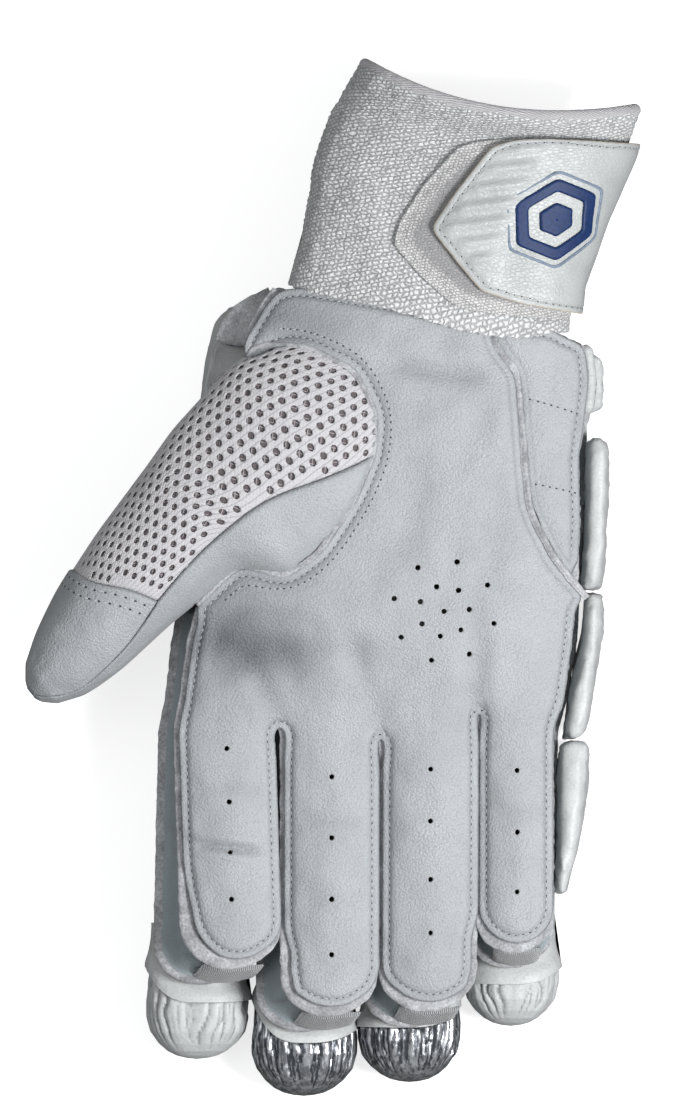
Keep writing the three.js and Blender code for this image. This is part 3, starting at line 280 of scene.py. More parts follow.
def away_from(points: np.ndarray, line: Line, closed: bool = True) -> tuple[np.ndarray, np.ndarray]:
    """How far points are from a flat line.

    Args:
        points: Places, a row each.
        line: The line's points.
        closed: Whether its last point joins its first.

    Returns:
        The distances, and the share along the line of each nearest place.
    """
    starts = line if closed else line[:-1]
    ends = np.roll(line, -1, axis=0) if closed else line[1:]
    runs = ends - starts
    squares = np.maximum(np.sum(runs**2, axis=1), 1e-12)
    best = np.empty(len(points))
    where = np.empty(len(points))
    for first in range(0, len(points), 1500):
        part = points[first : first + 1500]
        rel = part[:, None, :] - starts[None]
        share = np.clip(np.sum(rel * runs[None], axis=2) / squares, 0, 1)
        gap = np.sum((rel - share[..., None] * runs[None]) ** 2, axis=2)
        nearest = np.argmin(gap, axis=1)
        rows = np.arange(len(part))
        best[first : first + 1500] = np.sqrt(gap[rows, nearest])
        where[first : first + 1500] = (nearest + share[rows, nearest]) / len(starts)
    return best, where


# The hand's own lines


def stall(finger: Finger, side: Side, y: float) -> tuple[float, float]:
    """A stall's middle line and half width at a height."""
    share = min(max(-y / (finger.reach * FINGER_LENGTH), 0.0), 1.0)
    root, tip = finger.middles[side.value]
    return lerp(root, tip, share) * PALM_WIDTH, finger.halves[side.value] * PALM_WIDTH


def stall_end(finger: Finger, side: Side) -> float:
    """Where a stall's leather or backing ends."""
    return -(finger.reach + (BACK_EXTRA if side is Side.BACK else 0.0)) * FINGER_LENGTH


def stall_outline(index: int, side: Side, flank: int = 26, tip: int = 30) -> Line:
    """The line round one stall, from its root on the thumb side to its root on the other."""
    finger = FINGERS[index]
    end = stall_end(finger, side)
    middle, half = stall(finger, side, end)
    bend = end + half * TIP_ROUND
    before = FINGERS[index - 1].slit * FINGER_LENGTH if index else 0.0
    after = finger.slit * FINGER_LENGTH if index < len(FINGERS) - 1 else 0.0
    down = [(stall(finger, side, y)[0] - half, y) for y in np.linspace(before, bend, flank + 1)]
    turn = [
        (middle + half * math.cos(angle), bend + half * TIP_ROUND * math.sin(angle))
        for angle in np.pi * (1 + np.arange(1, tip) / tip)
    ]
    up = [(stall(finger, side, y)[0] + half, y) for y in np.linspace(bend, after, flank + 1)]
    return np.array(down + turn + up)


def crotch(index: int, side: Side) -> tuple[float, float]:
    """The top of the gap after a stall."""
    root = FINGERS[index].slit * FINGER_LENGTH
    left, left_half = stall(FINGERS[index], side, root)
    right, right_half = stall(FINGERS[index + 1], side, root)
    return (left + left_half + right - right_half) / 2, root + FINGER_LENGTH * 0.02


def edge_run(
    table: Sequence[tuple[float, float, float]], low: float, high: float, side: Side, steps: int
) -> Line:
    """The hand's edge between two shares of the palm's length, in the order of its table."""
    rows = np.array(table)
    places = np.linspace(low, high, steps)
    if rows[0, 0] > rows[-1, 0]:
        places = places[::-1]
        rows = rows[::-1]
    across = np.interp(places, rows[:, 0], rows[:, 1 + side.value])
    return np.column_stack([across * PALM_WIDTH, places * PALM_LENGTH])


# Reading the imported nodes


def height_over(tree: BVHTree, x: float, y: float, start: float = 50.0) -> float:
    """The height of a surface's upper side at a place, or of its place nearest to a starting height."""
    hit = tree.ray_cast(Vector((x, y, ABOVE)), DOWN)[0]
    return (hit or tree.find_nearest(Vector((x, y, start)))[0]).z


class Drawing:
    """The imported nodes, read back in the drawing's own millimetres."""

    def __init__(self, nodes: dict[str, bpy.types.Object]) -> None:
        """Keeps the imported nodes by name."""
        self.nodes = nodes
        self.trees: dict[tuple[str, ...], BVHTree] = {}

    def copy(self, name: str) -> Mesh:
        """A merged copy of a node in drawing millimetres."""
        bm = bmesh.new()
        bm.from_mesh(self.nodes[name].data)
        bmesh.ops.transform(bm, matrix=TO_DRAWING, verts=bm.verts)
        bmesh.ops.remove_doubles(bm, verts=bm.verts, dist=0.01)
        bm.normal_update()
        return bm

    def tree(self, *names: str) -> BVHTree:
        """A tree over some nodes' faces, for finding their surface."""
        if names not in self.trees:
            bm = bmesh.new()
            for name in names:
                bm.from_mesh(self.nodes[name].data)
            bmesh.ops.transform(bm, matrix=TO_DRAWING, verts=bm.verts)
            self.trees[names] = BVHTree.FromBMesh(bm)
            bm.free()
        return self.trees[names]

    def top(self, x: float, y: float, *names: str) -> float:
        """The height of some nodes' upper side at a place, or of the nearest place that they reach."""
        return height_over(self.tree(*names), x, y, 60.0)

    def rims(self, name: str) -> list[Line]:
        """The closed lines round a node's upper side, the longest first.

        Args:
            name: The node.

        Returns:
            Flat closed lines of the node's own corners.
        """
        bm = self.copy(name)
        upper = {f for f in bm.faces if f.normal.z > 0.35}
        border = [e for e in bm.edges if sum(f in upper for f in e.link_faces) == 1]
        joins: dict[bmesh.types.BMVert, list[bmesh.types.BMEdge]] = {}
        for edge in border:
            for vert in edge.verts:
                joins.setdefault(vert, []).append(edge)
        left = dict.fromkeys(border)  # keeps its order, so every run starts at the same corner
        loops: list[Line] = []
        while left:
            edge, _ = left.popitem()
            start, here = edge.verts
            loop = [start.co.xy[:], here.co.xy[:]]
            while here is not start:
                step = next((e for e in joins[here] if e in left), None)
                if step is None:
                    break
                del left[step]
                here = step.other_vert(here)
                loop.append(here.co.xy[:])
            loops.append(np.array(loop[:-1]))
        bm.free()
        return sorted(loops, key=lambda line: -np.ptp(line[:, 0]) * np.ptp(line[:, 1]))


# Cutting and laying sheets


@dataclass
class Sheet:
    """A flat cut of leather or cloth as triangles."""

    points: np.ndarray
    faces: np.ndarray
    edge: np.ndarray
    border: Line

    def links(self) -> np.ndarray:
        """The pairs of points that a triangle's side joins, each once."""
        sides = np.vstack([self.faces[:, [0, 1]], self.faces[:, [1, 2]], self.faces[:, [2, 0]]])
        return np.unique(np.sort(sides, axis=1), axis=0)

    def eased(self, values: np.ndarray, passes: int, held: np.ndarray | None = None) -> np.ndarray:
        """Evens out a value over the sheet.

        Args:
            values: One value, or one row of them, for each point.
            passes: How often each point moves halfway to its neighbours.
            held: Which points keep their value.

        Returns:
            The evened values.
        """
        links = self.links()
        count = np.bincount(links.ravel(), minlength=len(self.points)).astype(float)
        made = values.astype(float).copy()
        for _ in range(passes):
            total = np.bincount(links[:, 0], made[links[:, 1]], len(made))
            total += np.bincount(links[:, 1], made[links[:, 0]], len(made))
            mean = total / np.maximum(count, 1)
            step = 0.5 * (made + mean)
            made = step if held is None else np.where(held, made, step)
        return made


def cut_sheet(
    outline: Line,
    spacing: float,
    rings: Sequence[float] = (),
    eyelets: np.ndarray | None = None,
    radius: float = 0.0,
) -> Sheet:
    """Cuts a sheet to an outline, with fine rows of points along its edge and round holes through it.

    Args:
        outline: The closed cut line, evenly spaced.
        spacing: Distance between points away from the edge.
        rings: Distances from the edge that get a row of points each.
        eyelets: Middles of the round holes.
        radius: Radius of the holes.

    Returns:
        The cut sheet.
    """
    border = turned_left(outline)
    inward = sideways(border, closed=True)
    groups = [border]
    for ring in rings:
        row = border + inward * ring
        gaps, _ = away_from(row, border)
        groups.append(row[(np.abs(gaps - ring) < 0.12 * ring + 0.02) & inside(row, border)])
    low, high = border.min(axis=0), border.max(axis=0)
    rise = spacing * math.sqrt(3) / 2
    rows = np.arange(low[1], high[1], rise)
    fill = []
    for k, y in enumerate(rows):
        across = np.arange(low[0] + (k % 2) * spacing / 2, high[0], spacing)
        fill.append(np.column_stack([across, np.full_like(across, y)]))
    fill = np.vstack(fill)
    fill = fill[inside(fill, border)]
    gaps, _ = away_from(fill, border)
    fill = fill[gaps > (rings[-1] if rings else 0.0) + 0.5 * spacing]
    groups.append(fill)
    points = np.vstack(groups)
    edges = [(i, (i + 1) % len(border)) for i in range(len(border))]
    centres = np.empty((0, 2))
    if eyelets is not None and len(eyelets):
        centres = eyelets[inside(eyelets, border)]
        gaps, _ = away_from(centres, border)
        centres = centres[gaps > radius + 0.5]
        clear = np.ones(len(points), bool)
        for centre in centres:
            clear &= np.hypot(*(points - centre).T) > radius * HOLE_CLEAR
        clear[: len(border)] = True
        points = points[clear]
        angles = 2 * np.pi * (np.arange(HOLE_SIDES) + 0.5) / HOLE_SIDES
        for centre in centres:
            first = len(points)
            rim = centre + radius * np.column_stack([np.cos(angles), np.sin(angles)])
            wide = angles + HALO_TURN
            halo = centre + HALO * radius * np.column_stack([np.cos(wide), np.sin(wide)])
            points = np.vstack([points, rim, halo])
            edges += [(first + i, first + (i + 1) % HOLE_SIDES) for i in range(HOLE_SIDES)]
    made = delaunay_2d_cdt([Vector(p) for p in points], edges, [], 0, 1e-6, False)
    places = np.array([v[:] for v in made[0]])
    faces = np.array([f for f in made[2] if len(f) == 3])
    middles = places[faces].mean(axis=1)
    keep = inside(middles, border)
    for centre in centres:
        near = np.abs(middles[:, 0] - centre[0]) < radius
        keep[near] &= np.hypot(*(middles[near] - centre).T) > radius * 0.9
    faces = faces[keep]
    used, again = np.unique(faces, return_inverse=True)
    places = places[used]
    gaps, _ = away_from(places, border)
    return Sheet(places, again.reshape(-1, 3), gaps, border)


def sheet_mesh(sheet: Sheet, places: np.ndarray, shade: np.ndarray | None = None) -> Mesh:
    """A laid sheet as a mesh without loose points, with its flat places as its UV map in metres.

    Args:
        sheet: The cut sheet.
        places: Where each of its points lies, in drawing millimetres.
        shade: How much darker each point is marked, from 0 to 1, by painted shade or by a darker cut edge or
            sewn line.

    Returns:
        The mesh.
    """
    bm = bmesh.new()
    tone = bm.verts.layers.float.new("shade")
    uv = bm.loops.layers.uv.new("UVMap")
    verts = [bm.verts.new(place) for place in places]
    for i, vert in enumerate(verts):
        vert[tone] = float(shade[i]) if shade is not None else 0.0
    bm.verts.index_update()
    for face in sheet.faces:
        made = bm.faces.new([verts[i] for i in face])
        for loop in made.loops:
            flat = sheet.points[loop.vert.index]
            loop[uv].uv = (flat[0] * 0.001, flat[1] * 0.001)
    bmesh.ops.delete(bm, geom=[vert for vert in verts if not vert.link_faces], context="VERTS")
    bm.normal_update()
    return bm


def mapped_grid(columns: int, rows: int, place: Place, size: tuple[float, float] = (1.0, 1.0)) -> Mesh:
    """A grid bent into a surface, its joins welded.

    Args:
        columns: Faces along the first share.
        rows: Faces along the second.
        place: Where the two shares, each from 0 to 1, lie.
        size: The surface's own width and length, for its UV map in metres.

    Returns:
        The mesh, in drawing millimetres.
    """
    bm = bmesh.new()
    bmesh.ops.create_grid(bm, x_segments=columns, y_segments=rows, size=0.5)
    uv = bm.loops.layers.uv.new("UVMap")
    for face in bm.faces:
        for loop in face.loops:
            flat = loop.vert.co
            loop[uv].uv = ((flat.x + 0.5) * size[0] * 0.001, (flat.y + 0.5) * size[1] * 0.001)
    for vert in bm.verts:
        vert.co = place(vert.co.x + 0.5, vert.co.y + 0.5)
    bmesh.ops.remove_doubles(bm, verts=bm.verts, dist=0.005)
    return bm


def closed_up(bm: Mesh) -> Mesh:
    """The mesh with its open ends filled and its faces pointing out."""
    rims = [e for e in bm.edges if e.is_boundary]
    if rims:
        bmesh.ops.holes_fill(bm, edges=rims, sides=0)
    bmesh.ops.recalc_face_normals(bm, faces=bm.faces)
    return bm


def tube(path: np.ndarray, radius: Callable[[float, float], float], around: int = 10) -> Mesh:
    """A round strand along a path.

    Args:
        path: Points in drawing millimetres.
        radius: Its radius at a share of its length and an angle.
        around: Faces round it.

    Returns:
        The closed mesh.
    """
    runs = np.gradient(path, axis=0)
    runs /= np.linalg.norm(runs, axis=1, keepdims=True)
    frames = []
    up = Vector((0.0, 0.0, 1.0))
    for run in runs:
        along = Vector(run)
        out = along.cross(up)
        out = out.normalized() if out.length > 1e-6 else Vector((1.0, 0.0, 0.0))
        frames.append((out, out.cross(along)))
    last = len(path) - 1

    def place(u: float, v: float) -> Vector:
        """The strand's surface at a share round it and a share along it."""
        i = round(v * last)
        angle = 2 * math.pi * u
        out, high = frames[i]
        return Vector(path[i]) + (out * math.cos(angle) + high * math.sin(angle)) * radius(v, angle)

    return closed_up(mapped_grid(around, last, place, (6.0, float(last))))


def settle(
    bm: Mesh,
    name: str,
    finishes: Sequence[Material],
    replaces: Sequence[str] = (),
    thickness: float = 0.0,
) -> bpy.types.Object:
    """Turns a mesh into a piece of the glove.

    Args:
        bm: The mesh in drawing millimetres, which is freed.
        name: The piece's name.
        finishes: Its materials; the second is for the cut rim of a sheet.
        replaces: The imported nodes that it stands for.
        thickness: Wall given to a sheet, inward, in millimetres.

    Returns:
        The piece.
    """
    bmesh.ops.transform(bm, matrix=TO_FRAME, verts=bm.verts)
    mesh = bpy.data.meshes.new(name)
    bm.to_mesh(mesh)
    bm.free()
    for finish in finishes:
        mesh.materials.append(finish)
    mesh.shade_smooth()
    piece = bpy.data.objects.new(name, mesh)
    bpy.context.scene.collection.objects.link(piece)
    if thickness:
        wall = piece.modifiers.new("wall", "SOLIDIFY")
        wall.thickness = thickness * 0.001
        wall.offset = -1.0
        wall.use_even_offset = False
        wall.material_offset_rim = 1 if len(finishes) > 1 else 0
    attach(piece, "root")
    if replaces:
        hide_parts(*replaces)
    LOG.info("%s: %d faces", name, len(mesh.polygons))
    return piece


# Finishes


class Shader:
    """A material whose nodes are made one after another."""

    def __init__(self, name: str) -> None:
        """Starts a material with its surface shader."""
        self.material = bpy.data.materials.new(name)
        self.material.use_nodes = True
        self.nodes = self.material.node_tree.nodes
        self.links = self.material.node_tree.links
        self.surface = self.nodes["Principled BSDF"]

    def node(self, kind: str, settings: dict[str, object] | None = None, **inputs: object) -> bpy.types.Node:
        """Adds a node.

        Args:
            kind: The node's type, without its prefix.
            settings: Its own properties.
            **inputs: Its inputs by name, with _ for a space: a value or another node's output.

        Returns:
            The node.
        """
        made = self.nodes.new("ShaderNode" + kind)
        for key, value in (settings or {}).items():
            setattr(made, key, value)
        for key, value in inputs.items():
            wanted = key.replace("_", " ")
            socket = made.inputs[int(key[2:])] if key.startswith("i_") else made.inputs[wanted]
            if isinstance(value, Socket):
                self.links.new(value, socket)
            else:
                socket.default_value = value
        return made

    def place(self, scale: Sequence[float] = (1, 1, 1), turn: float = 0.0, source: str = "Object") -> Socket:
        """A place on the piece, scaled and turned about +Z; source is Object or UV."""
        coordinates = self.node("TexCoord")
        mapped = self.node(
            "Mapping", Vector=coordinates.outputs[source], Scale=tuple(scale), Rotation=(0.0, 0.0, turn)
        )
        return mapped.outputs["Vector"]

    def noise(self, place: Socket, scale: float, detail: float = 3.0) -> Socket:
        """Soft unevenness from 0 to 1."""
        return self.node("TexNoise", Vector=place, Scale=scale, Detail=detail, Roughness=0.6).outputs[0]

    def cells(
        self, place: Socket, scale: float, feature: str = "SMOOTH_F1", randomness: float = 1.0
    ) -> Socket:
        """Distance within rounded cells."""
        made = self.node(
            "TexVoronoi", {"feature": feature}, Vector=place, Scale=scale, Randomness=randomness
        )
        return made.outputs["Distance"]

    def span(self, value: Socket, low: float, high: float, start: float = 0.0, end: float = 1.0) -> Socket:
        """A value from low to high stretched from start to end and kept there."""
        return self.node("MapRange", i_0=value, i_1=low, i_2=high, i_3=start, i_4=end).outputs[0]

    def painted_shade_and_marks(self) -> Socket:
        """How much darker each point is marked, 0 where nothing was: painted shade in folds, creases and
        hollows, and darker cut edges, sewn lines and the nap beside the strap.
        """
        return self.node("Attribute", {"attribute_name": "shade"}).outputs["Fac"]

    def blend(self, share: Socket, first: object, second: object) -> Socket:
        """A colour between two, by a share."""
        made = self.node("Mix", {"data_type": "RGBA"}, i_0=share)
        for index, value in ((6, first), (7, second)):
            if isinstance(value, Socket):
                self.links.new(value, made.inputs[index])
            else:
                made.inputs[index].default_value = (*value, 1.0)
        return made.outputs[2]

    def math(self, how: str, first: object, second: object = 0.0) -> Socket:
        """An operation on two values."""
        return self.node("Math", {"operation": how}, i_0=first, i_1=second).outputs[0]

    def relief(self, *layers: tuple[Socket, float]) -> None:
        """Bumps on the surface, each a height and its depth in metres, laid one on another."""
        normal = None
        for height, depth in layers:
            made = self.node("Bump", Height=height, Distance=depth, Strength=1.0)
            if normal is not None:
                self.links.new(normal, made.inputs["Normal"])
            normal = made.outputs["Normal"]
        self.links.new(normal, self.surface.inputs["Normal"])

    def set(self, **inputs: object) -> None:
        """Sets the surface's own inputs by name: a value, a colour or a node's output."""
        for key, value in inputs.items():
            socket = self.surface.inputs[key.replace("_", " ")]
            if isinstance(value, Socket):
                self.links.new(value, socket)
            elif isinstance(value, tuple):
                socket.default_value = (*value, 1.0)
            else:
                socket.default_value = value


@dataclass(frozen=True)
class Tones:
    """The name of a finish and the two tones between which it changes."""

    name: str
    light: Colour
    dark: Colour


@dataclass(frozen=True)
class Leather(Tones):
    """Fine grained leather, its tone and roughness changing at random, and darker where it is marked with
    painted shade or a cut edge.
    """

    roughness: float = 0.5
    grain_size: float = 0.62
    grain_depth: float = 0.0002
    crease_depth: float = 0.00005

    def build(self) -> Material:
        """The material: pebbled grain, fine wrinkles and soft changes of tone."""
        shader = Shader(self.name)
        place = shader.place()
        pebbles = shader.cells(place, 1000 / self.grain_size, "F1")
        wrinkles = shader.noise(shader.place((1, 1.7, 1), 0.6), 900, 4)
        tone = shader.noise(place, 45, 3)
        fine = shader.noise(place, 1500, 2)
        mixed = shader.span(tone, 0.38, 0.68, 0.0, 0.12)
        deep = shader.math("ADD", mixed, shader.span(fine, 0.35, 0.7, 0.0, 0.04))
        valley = shader.math("ADD", deep, shader.span(pebbles, 0.25, 0.75, 0.0, 0.16))
        # Painted shade in folds, creases and hollows, and darker cut edges, come in through each point's
        # marks.
        share = shader.math("ADD", valley, shader.painted_shade_and_marks())
        shader.set(Base_Color=shader.blend(share, self.light, self.dark))
        shader.set(Roughness=shader.span(tone, 0.3, 0.7, self.roughness - 0.06, self.roughness + 0.08))
        shader.set(Specular_IOR_Level=0.4, Sheen_Weight=0.08)
        bumps = shader.math("SUBTRACT", 1.0, pebbles)
        shader.relief((wrinkles, self.crease_depth), (bumps, self.grain_depth))
        return shader.material


@dataclass(frozen=True)
class Suede(Tones):
    """Raw, brushed leather or felt at a cut edge."""

    fibre: float = 0.00018

    def build(self) -> Material:
        """The material: short fibres with a soft sheen."""
        shader = Shader(self.name)
        place = shader.place()
        fibres = shader.noise(place, 1300, 5)
        patches = shader.noise(place, 160, 3)
        share = shader.math("MULTIPLY", fibres, patches)
        shader.set(Base_Color=shader.blend(shader.span(share, 0.14, 0.42), self.dark, self.light))
        shader.set(Roughness=0.92, Sheen_Weight=0.35, Sheen_Roughness=0.5, Specular_IOR_Level=0.2)
        shader.relief((fibres, self.fibre))
        return shader.material


@dataclass(frozen=True)
class Knit(Tones):
    """Coarse basket knit in thick yarn, on the piece's own UV map."""

    stitch: tuple[float, float] = (1.7, 1.1)
    depth: float = 0.00032

    def build(self) -> Material:
        """The material: slanting yarn humps with dark gaps and loose fibres."""
        shader = Shader(self.name)
        yarn = shader.place((1000 / self.stitch[0], 1000 / self.stitch[1], 1), 0.45, "UV")
        wobble = shader.node("TexNoise", Vector=yarn, Scale=0.8, Detail=1.0).outputs[1]
        way = {"operation": "MULTIPLY_ADD"}
        bent = shader.node("VectorMath", way, i_0=wobble, i_1=(1.5, 1.1, 0.0), i_2=yarn).outputs[0]
        sizes = {"Scale": 1.0, "Brick_Width": 1.0, "Row_Height": 1.0}
        floats = shader.node("TexBrick", Vector=bent, Mortar_Size=0.5, Mortar_Smooth=1.0, **sizes)
        humps = shader.math("SUBTRACT", 1.0, floats.outputs[1])
        fuzz = shader.noise(shader.place(source="UV"), 2600, 4)
        tone = shader.noise(shader.place(), 60, 3)
        round_top = shader.span(humps, 0.0, 0.7)
        gap = shader.span(humps, 0.0, 0.45, 0.85, 0.0)
        fleck = shader.span(shader.noise(yarn, 0.55, 1), 0.52, 0.62, 0.0, 0.22)
        dark = shader.math("ADD", gap, shader.math("ADD", fleck, shader.span(tone, 0.35, 0.7, -0.05, 0.12)))
        # The gaps, flecks and tone, plus each point's marks, which darken the nap patch towards the strap.
        tone_and_shade = shader.math("ADD", dark, shader.painted_shade_and_marks())
        share = shader.math("ADD", tone_and_shade, shader.span(fuzz, 0.3, 0.7, -0.08, 0.16))
        shader.set(Base_Color=shader.blend(share, self.light, self.dark))
        shader.set(Roughness=0.9, Sheen_Weight=0.25, Sheen_Roughness=0.5, Specular_IOR_Level=0.25)
        shader.relief((round_top, self.depth), (fuzz, 0.00015))
        return shader.material


@dataclass(frozen=True)
class Foil(Tones):
    """Metallic coated leather, crazed, in streaks of darker, less metallic film, with painted shade in its
    folds.
    """

    def build(self) -> Material:
        """The material: crinkled metal film with dull patches."""
        shader = Shader(self.name)
        place = shader.place((1, 0.45, 1))
        crinkle = shader.cells(place, 420)
        folds = shader.noise(place, 260, 5)
        streaks = shader.span(shader.noise(shader.place((1, 0.22, 1)), 900, 4), 0.4, 0.56, 0.1, 0.8)
        # The streaks plus painted shade in the folds, from each point's marks.
        tone_and_shade = shader.math("MINIMUM", shader.math("ADD", streaks, shader.painted_shade_and_marks()), 1.0)
        shader.set(Base_Color=shader.blend(tone_and_shade, self.light, self.dark))
        shader.set(Metallic=shader.span(tone_and_shade, 0.0, 1.0, 0.95, 0.6))
        shader.set(Roughness=shader.span(folds, 0.3, 0.75, 0.2, 0.45))
        shader.relief((folds, 0.0007), (crinkle, 0.00025))
        return shader.material


@dataclass(frozen=True)
class AirMesh(Tones):
    """The face of a spacer mesh: fine knitted wales with pin holes."""

    pitch: float
    turn: float

    def build(self) -> Material:
        """The material: short slanting wales between the large holes."""
        shader = Shader(self.name)
        along = shader.place((1000 / self.pitch, 1000 / self.pitch, 1), self.turn + math.pi / 2, "UV")
        slant = {"bands_direction": "DIAGONAL"}
        wales = shader.node("TexWave", slant, Vector=along, Scale=1.0, Distortion=1.2)
        pins = shader.cells(along, 4.2, "F1", 0.35)
        lines = shader.span(wales.outputs["Fac"], 0.0, 0.16, 0.55, 0.0)
        dots = shader.span(pins, 0.08, 0.2, 0.6, 0.0)
        share = shader.math("MAXIMUM", lines, dots)
        shader.set(Base_Color=shader.blend(share, self.light, self.dark))
        shader.set(Roughness=0.85, Sheen_Weight=0.3, Specular_IOR_Level=0.25)
        shader.relief((pins, 0.00022))
        return shader.material


@dataclass(frozen=True)
class Lining(Tones):
    """The dark second layer seen through the mesh, with a cross of yarns behind each hole."""

    pitch: float
    turn: float

    def build(self) -> Material:
        """The material: two crossing sets of yarn over a dark ground."""
        shader = Shader(self.name)
        along = shader.place((1000 / self.pitch, 1000 / self.pitch, 1), self.turn, "UV")
        first, second = (
            shader.node("TexWave", {"bands_direction": way}, Vector=along, Scale=0.63).outputs["Fac"]
            for way in "XY"
        )
        yarn = shader.span(shader.math("MAXIMUM", first, second), 0.86, 0.98)
        fuzz = shader.noise(along, 7.0, 3)
        shader.set(Base_Color=shader.blend(shader.math("MULTIPLY", yarn, fuzz), self.dark, self.light))
        shader.set(Roughness=0.95, Specular_IOR_Level=0.15)
        shader.relief((yarn, 0.0003))
        return shader.material


@dataclass(frozen=True)
class Webbing(Tones):
    """Elastic tape and the cuff's hem: close fine ribs."""

    rib: float
    depth: float = 0.00018

    def build(self) -> Material:
        """The material: slanting ribs broken by fibres."""
        shader = Shader(self.name)
        place = shader.place((1, 1, 1), 0.35, "UV")
        ribs = shader.node(
            "TexWave", {"bands_direction": "X"}, Vector=place, Scale=314 / self.rib, Distortion=2.0
        ).outputs["Fac"]
        fibres = shader.noise(place, 1900, 4)
        share = shader.math("MULTIPLY", ribs, fibres)
        shader.set(Base_Color=shader.blend(shader.span(share, 0.05, 0.5), self.dark, self.light))
        shader.set(Roughness=0.88, Sheen_Weight=0.4, Specular_IOR_Level=0.25)
        shader.relief((ribs, self.depth), (fibres, 0.0001))
        return shader.material


@dataclass(frozen=True)
class Embossed(Tones):
    """Glossy coated hide pressed with small overlapping scales."""

    scale: float = 1.5

    def build(self) -> Material:
        """The material: scales with soft borders and a low gloss."""
        shader = Shader(self.name)
        place = shader.place((1, 1.35, 1), 0.5, "UV")
        scales = shader.cells(place, 1000 / self.scale, "DISTANCE_TO_EDGE", 0.75)
        border = shader.span(scales, 0.0, 0.16)
        fine = shader.noise(shader.place(), 1700, 3)
        tone = shader.noise(shader.place(), 70, 2)
        share = shader.math("ADD", shader.span(tone, 0.4, 0.7, 0.0, 0.35), shader.painted_shade_and_marks())
        shader.set(Base_Color=shader.blend(share, self.light, self.dark))
        shader.set(Roughness=0.42, Specular_IOR_Level=0.5)
        shader.relief((border, 0.00007), (fine, 0.00003))
        return shader.material


@dataclass(frozen=True)
class Plain(Tones):
    """A simple finish with fine unevenness, for thread, prints, cut edges and needle holes."""

    roughness: float
    size: float
    depth: float

    def build(self) -> Material:
        """The material: two close tones and a fine bump."""
        shader = Shader(self.name)
        uneven = shader.noise(shader.place(), 1000 / self.size, 3)
        shader.set(Base_Color=shader.blend(shader.span(uneven, 0.3, 0.7), self.dark, self.light))
        shader.set(Roughness=self.roughness, Specular_IOR_Level=0.25)
        shader.relief((uneven, self.depth))
        return shader.material


@dataclass(frozen=True)
class Backdrop:
    """A lit white table that takes only faint shadows."""

    name: str
    own_light: float = 0.74
    white: float = 0.5

    def build(self) -> Material:
        """The material: a pale surface with an even light of its own."""
        shader = Shader(self.name)
        uneven = shader.noise(shader.place(), 30, 2)
        tone = (self.white, self.white, self.white)
        shader.set(Base_Color=shader.blend(uneven, tone, tone), Roughness=0.9, Specular_IOR_Level=0.0)
        shader.set(Emission_Color=(1.0, 1.0, 1.0), Emission_Strength=self.own_light)
        return shader.material


def built(maker: Tones | Backdrop) -> Material:
    """A field for a finish that is built together with the others."""
    return field(default_factory=maker.build)


@dataclass
class Finishes:
    """Every finish of the glove."""

    palm: Material = built(Leather("palm_leather", (0.338, 0.354, 0.369), (0.1, 0.11, 0.12)))
    hide: Material = built(
        Leather("padding_hide", (0.5, 0.515, 0.515), (0.18, 0.19, 0.196), 0.42, 0.6, 0.00004, 0.0002)
    )
    raw: Material = built(Suede("raw_edge", (0.5, 0.51, 0.53), (0.2, 0.205, 0.215), 0.00035))
    gusset: Material = built(
        Leather("gusset_fabric", (0.27, 0.31, 0.33), (0.12, 0.14, 0.15), 0.6, 0.5, 0.00008, 0.0003)
    )
    foil: Material = built(Foil("silver_hide", (0.7, 0.72, 0.75), (0.055, 0.06, 0.07)))
    mesh: Material = built(
        AirMesh("air_mesh", (0.45, 0.445, 0.463), (0.2, 0.195, 0.213), MESH_PITCH, MESH_TURN)
    )
    lining: Material = built(
        Lining("mesh_lining", (0.5, 0.465, 0.485), (0.11, 0.097, 0.103), MESH_PITCH, MESH_TURN)
    )
    knit: Material = built(Knit("cuff_knit", (0.66, 0.665, 0.67), (0.27, 0.275, 0.285)))
    nap: Material = built(Knit("nap", (0.62, 0.615, 0.61), (0.26, 0.26, 0.265), (1.2, 0.8), 0.0002))
    tab: Material = built(Webbing("finger_tab", (0.42, 0.43, 0.44), (0.2, 0.21, 0.22), 0.55))
    strap: Material = built(Embossed("strap_hide", (0.385, 0.402, 0.404), (0.19, 0.2, 0.197)))
    tan: Material = built(Plain("strap_edge", (0.52, 0.475, 0.41), (0.36, 0.32, 0.27), 0.75, 0.9, 0.00008))
    motif: Material = built(Plain("motif", (0.006, 0.028, 0.11), (0.003, 0.015, 0.065), 0.5, 1.1, 0.00005))
    trim: Material = built(Plain("motif_trim", (0.2, 0.25, 0.32), (0.12, 0.15, 0.2), 0.35, 1.3, 0.00004))
    hem: Material = built(Webbing("cuff_hem", (0.56, 0.55, 0.57), (0.32, 0.315, 0.33), 0.5, 0.0002))
    thread: Material = built(Plain("thread", (0.48, 0.495, 0.51), (0.3, 0.31, 0.325), 0.7, 0.35, 0.0001))
    needle: Material = built(
        Plain("needle_hole", (0.05, 0.055, 0.06), (0.02, 0.022, 0.025), 0.95, 0.5, 0.00004)
    )
    floor: Material = built(Backdrop("floor"))


# Sewing


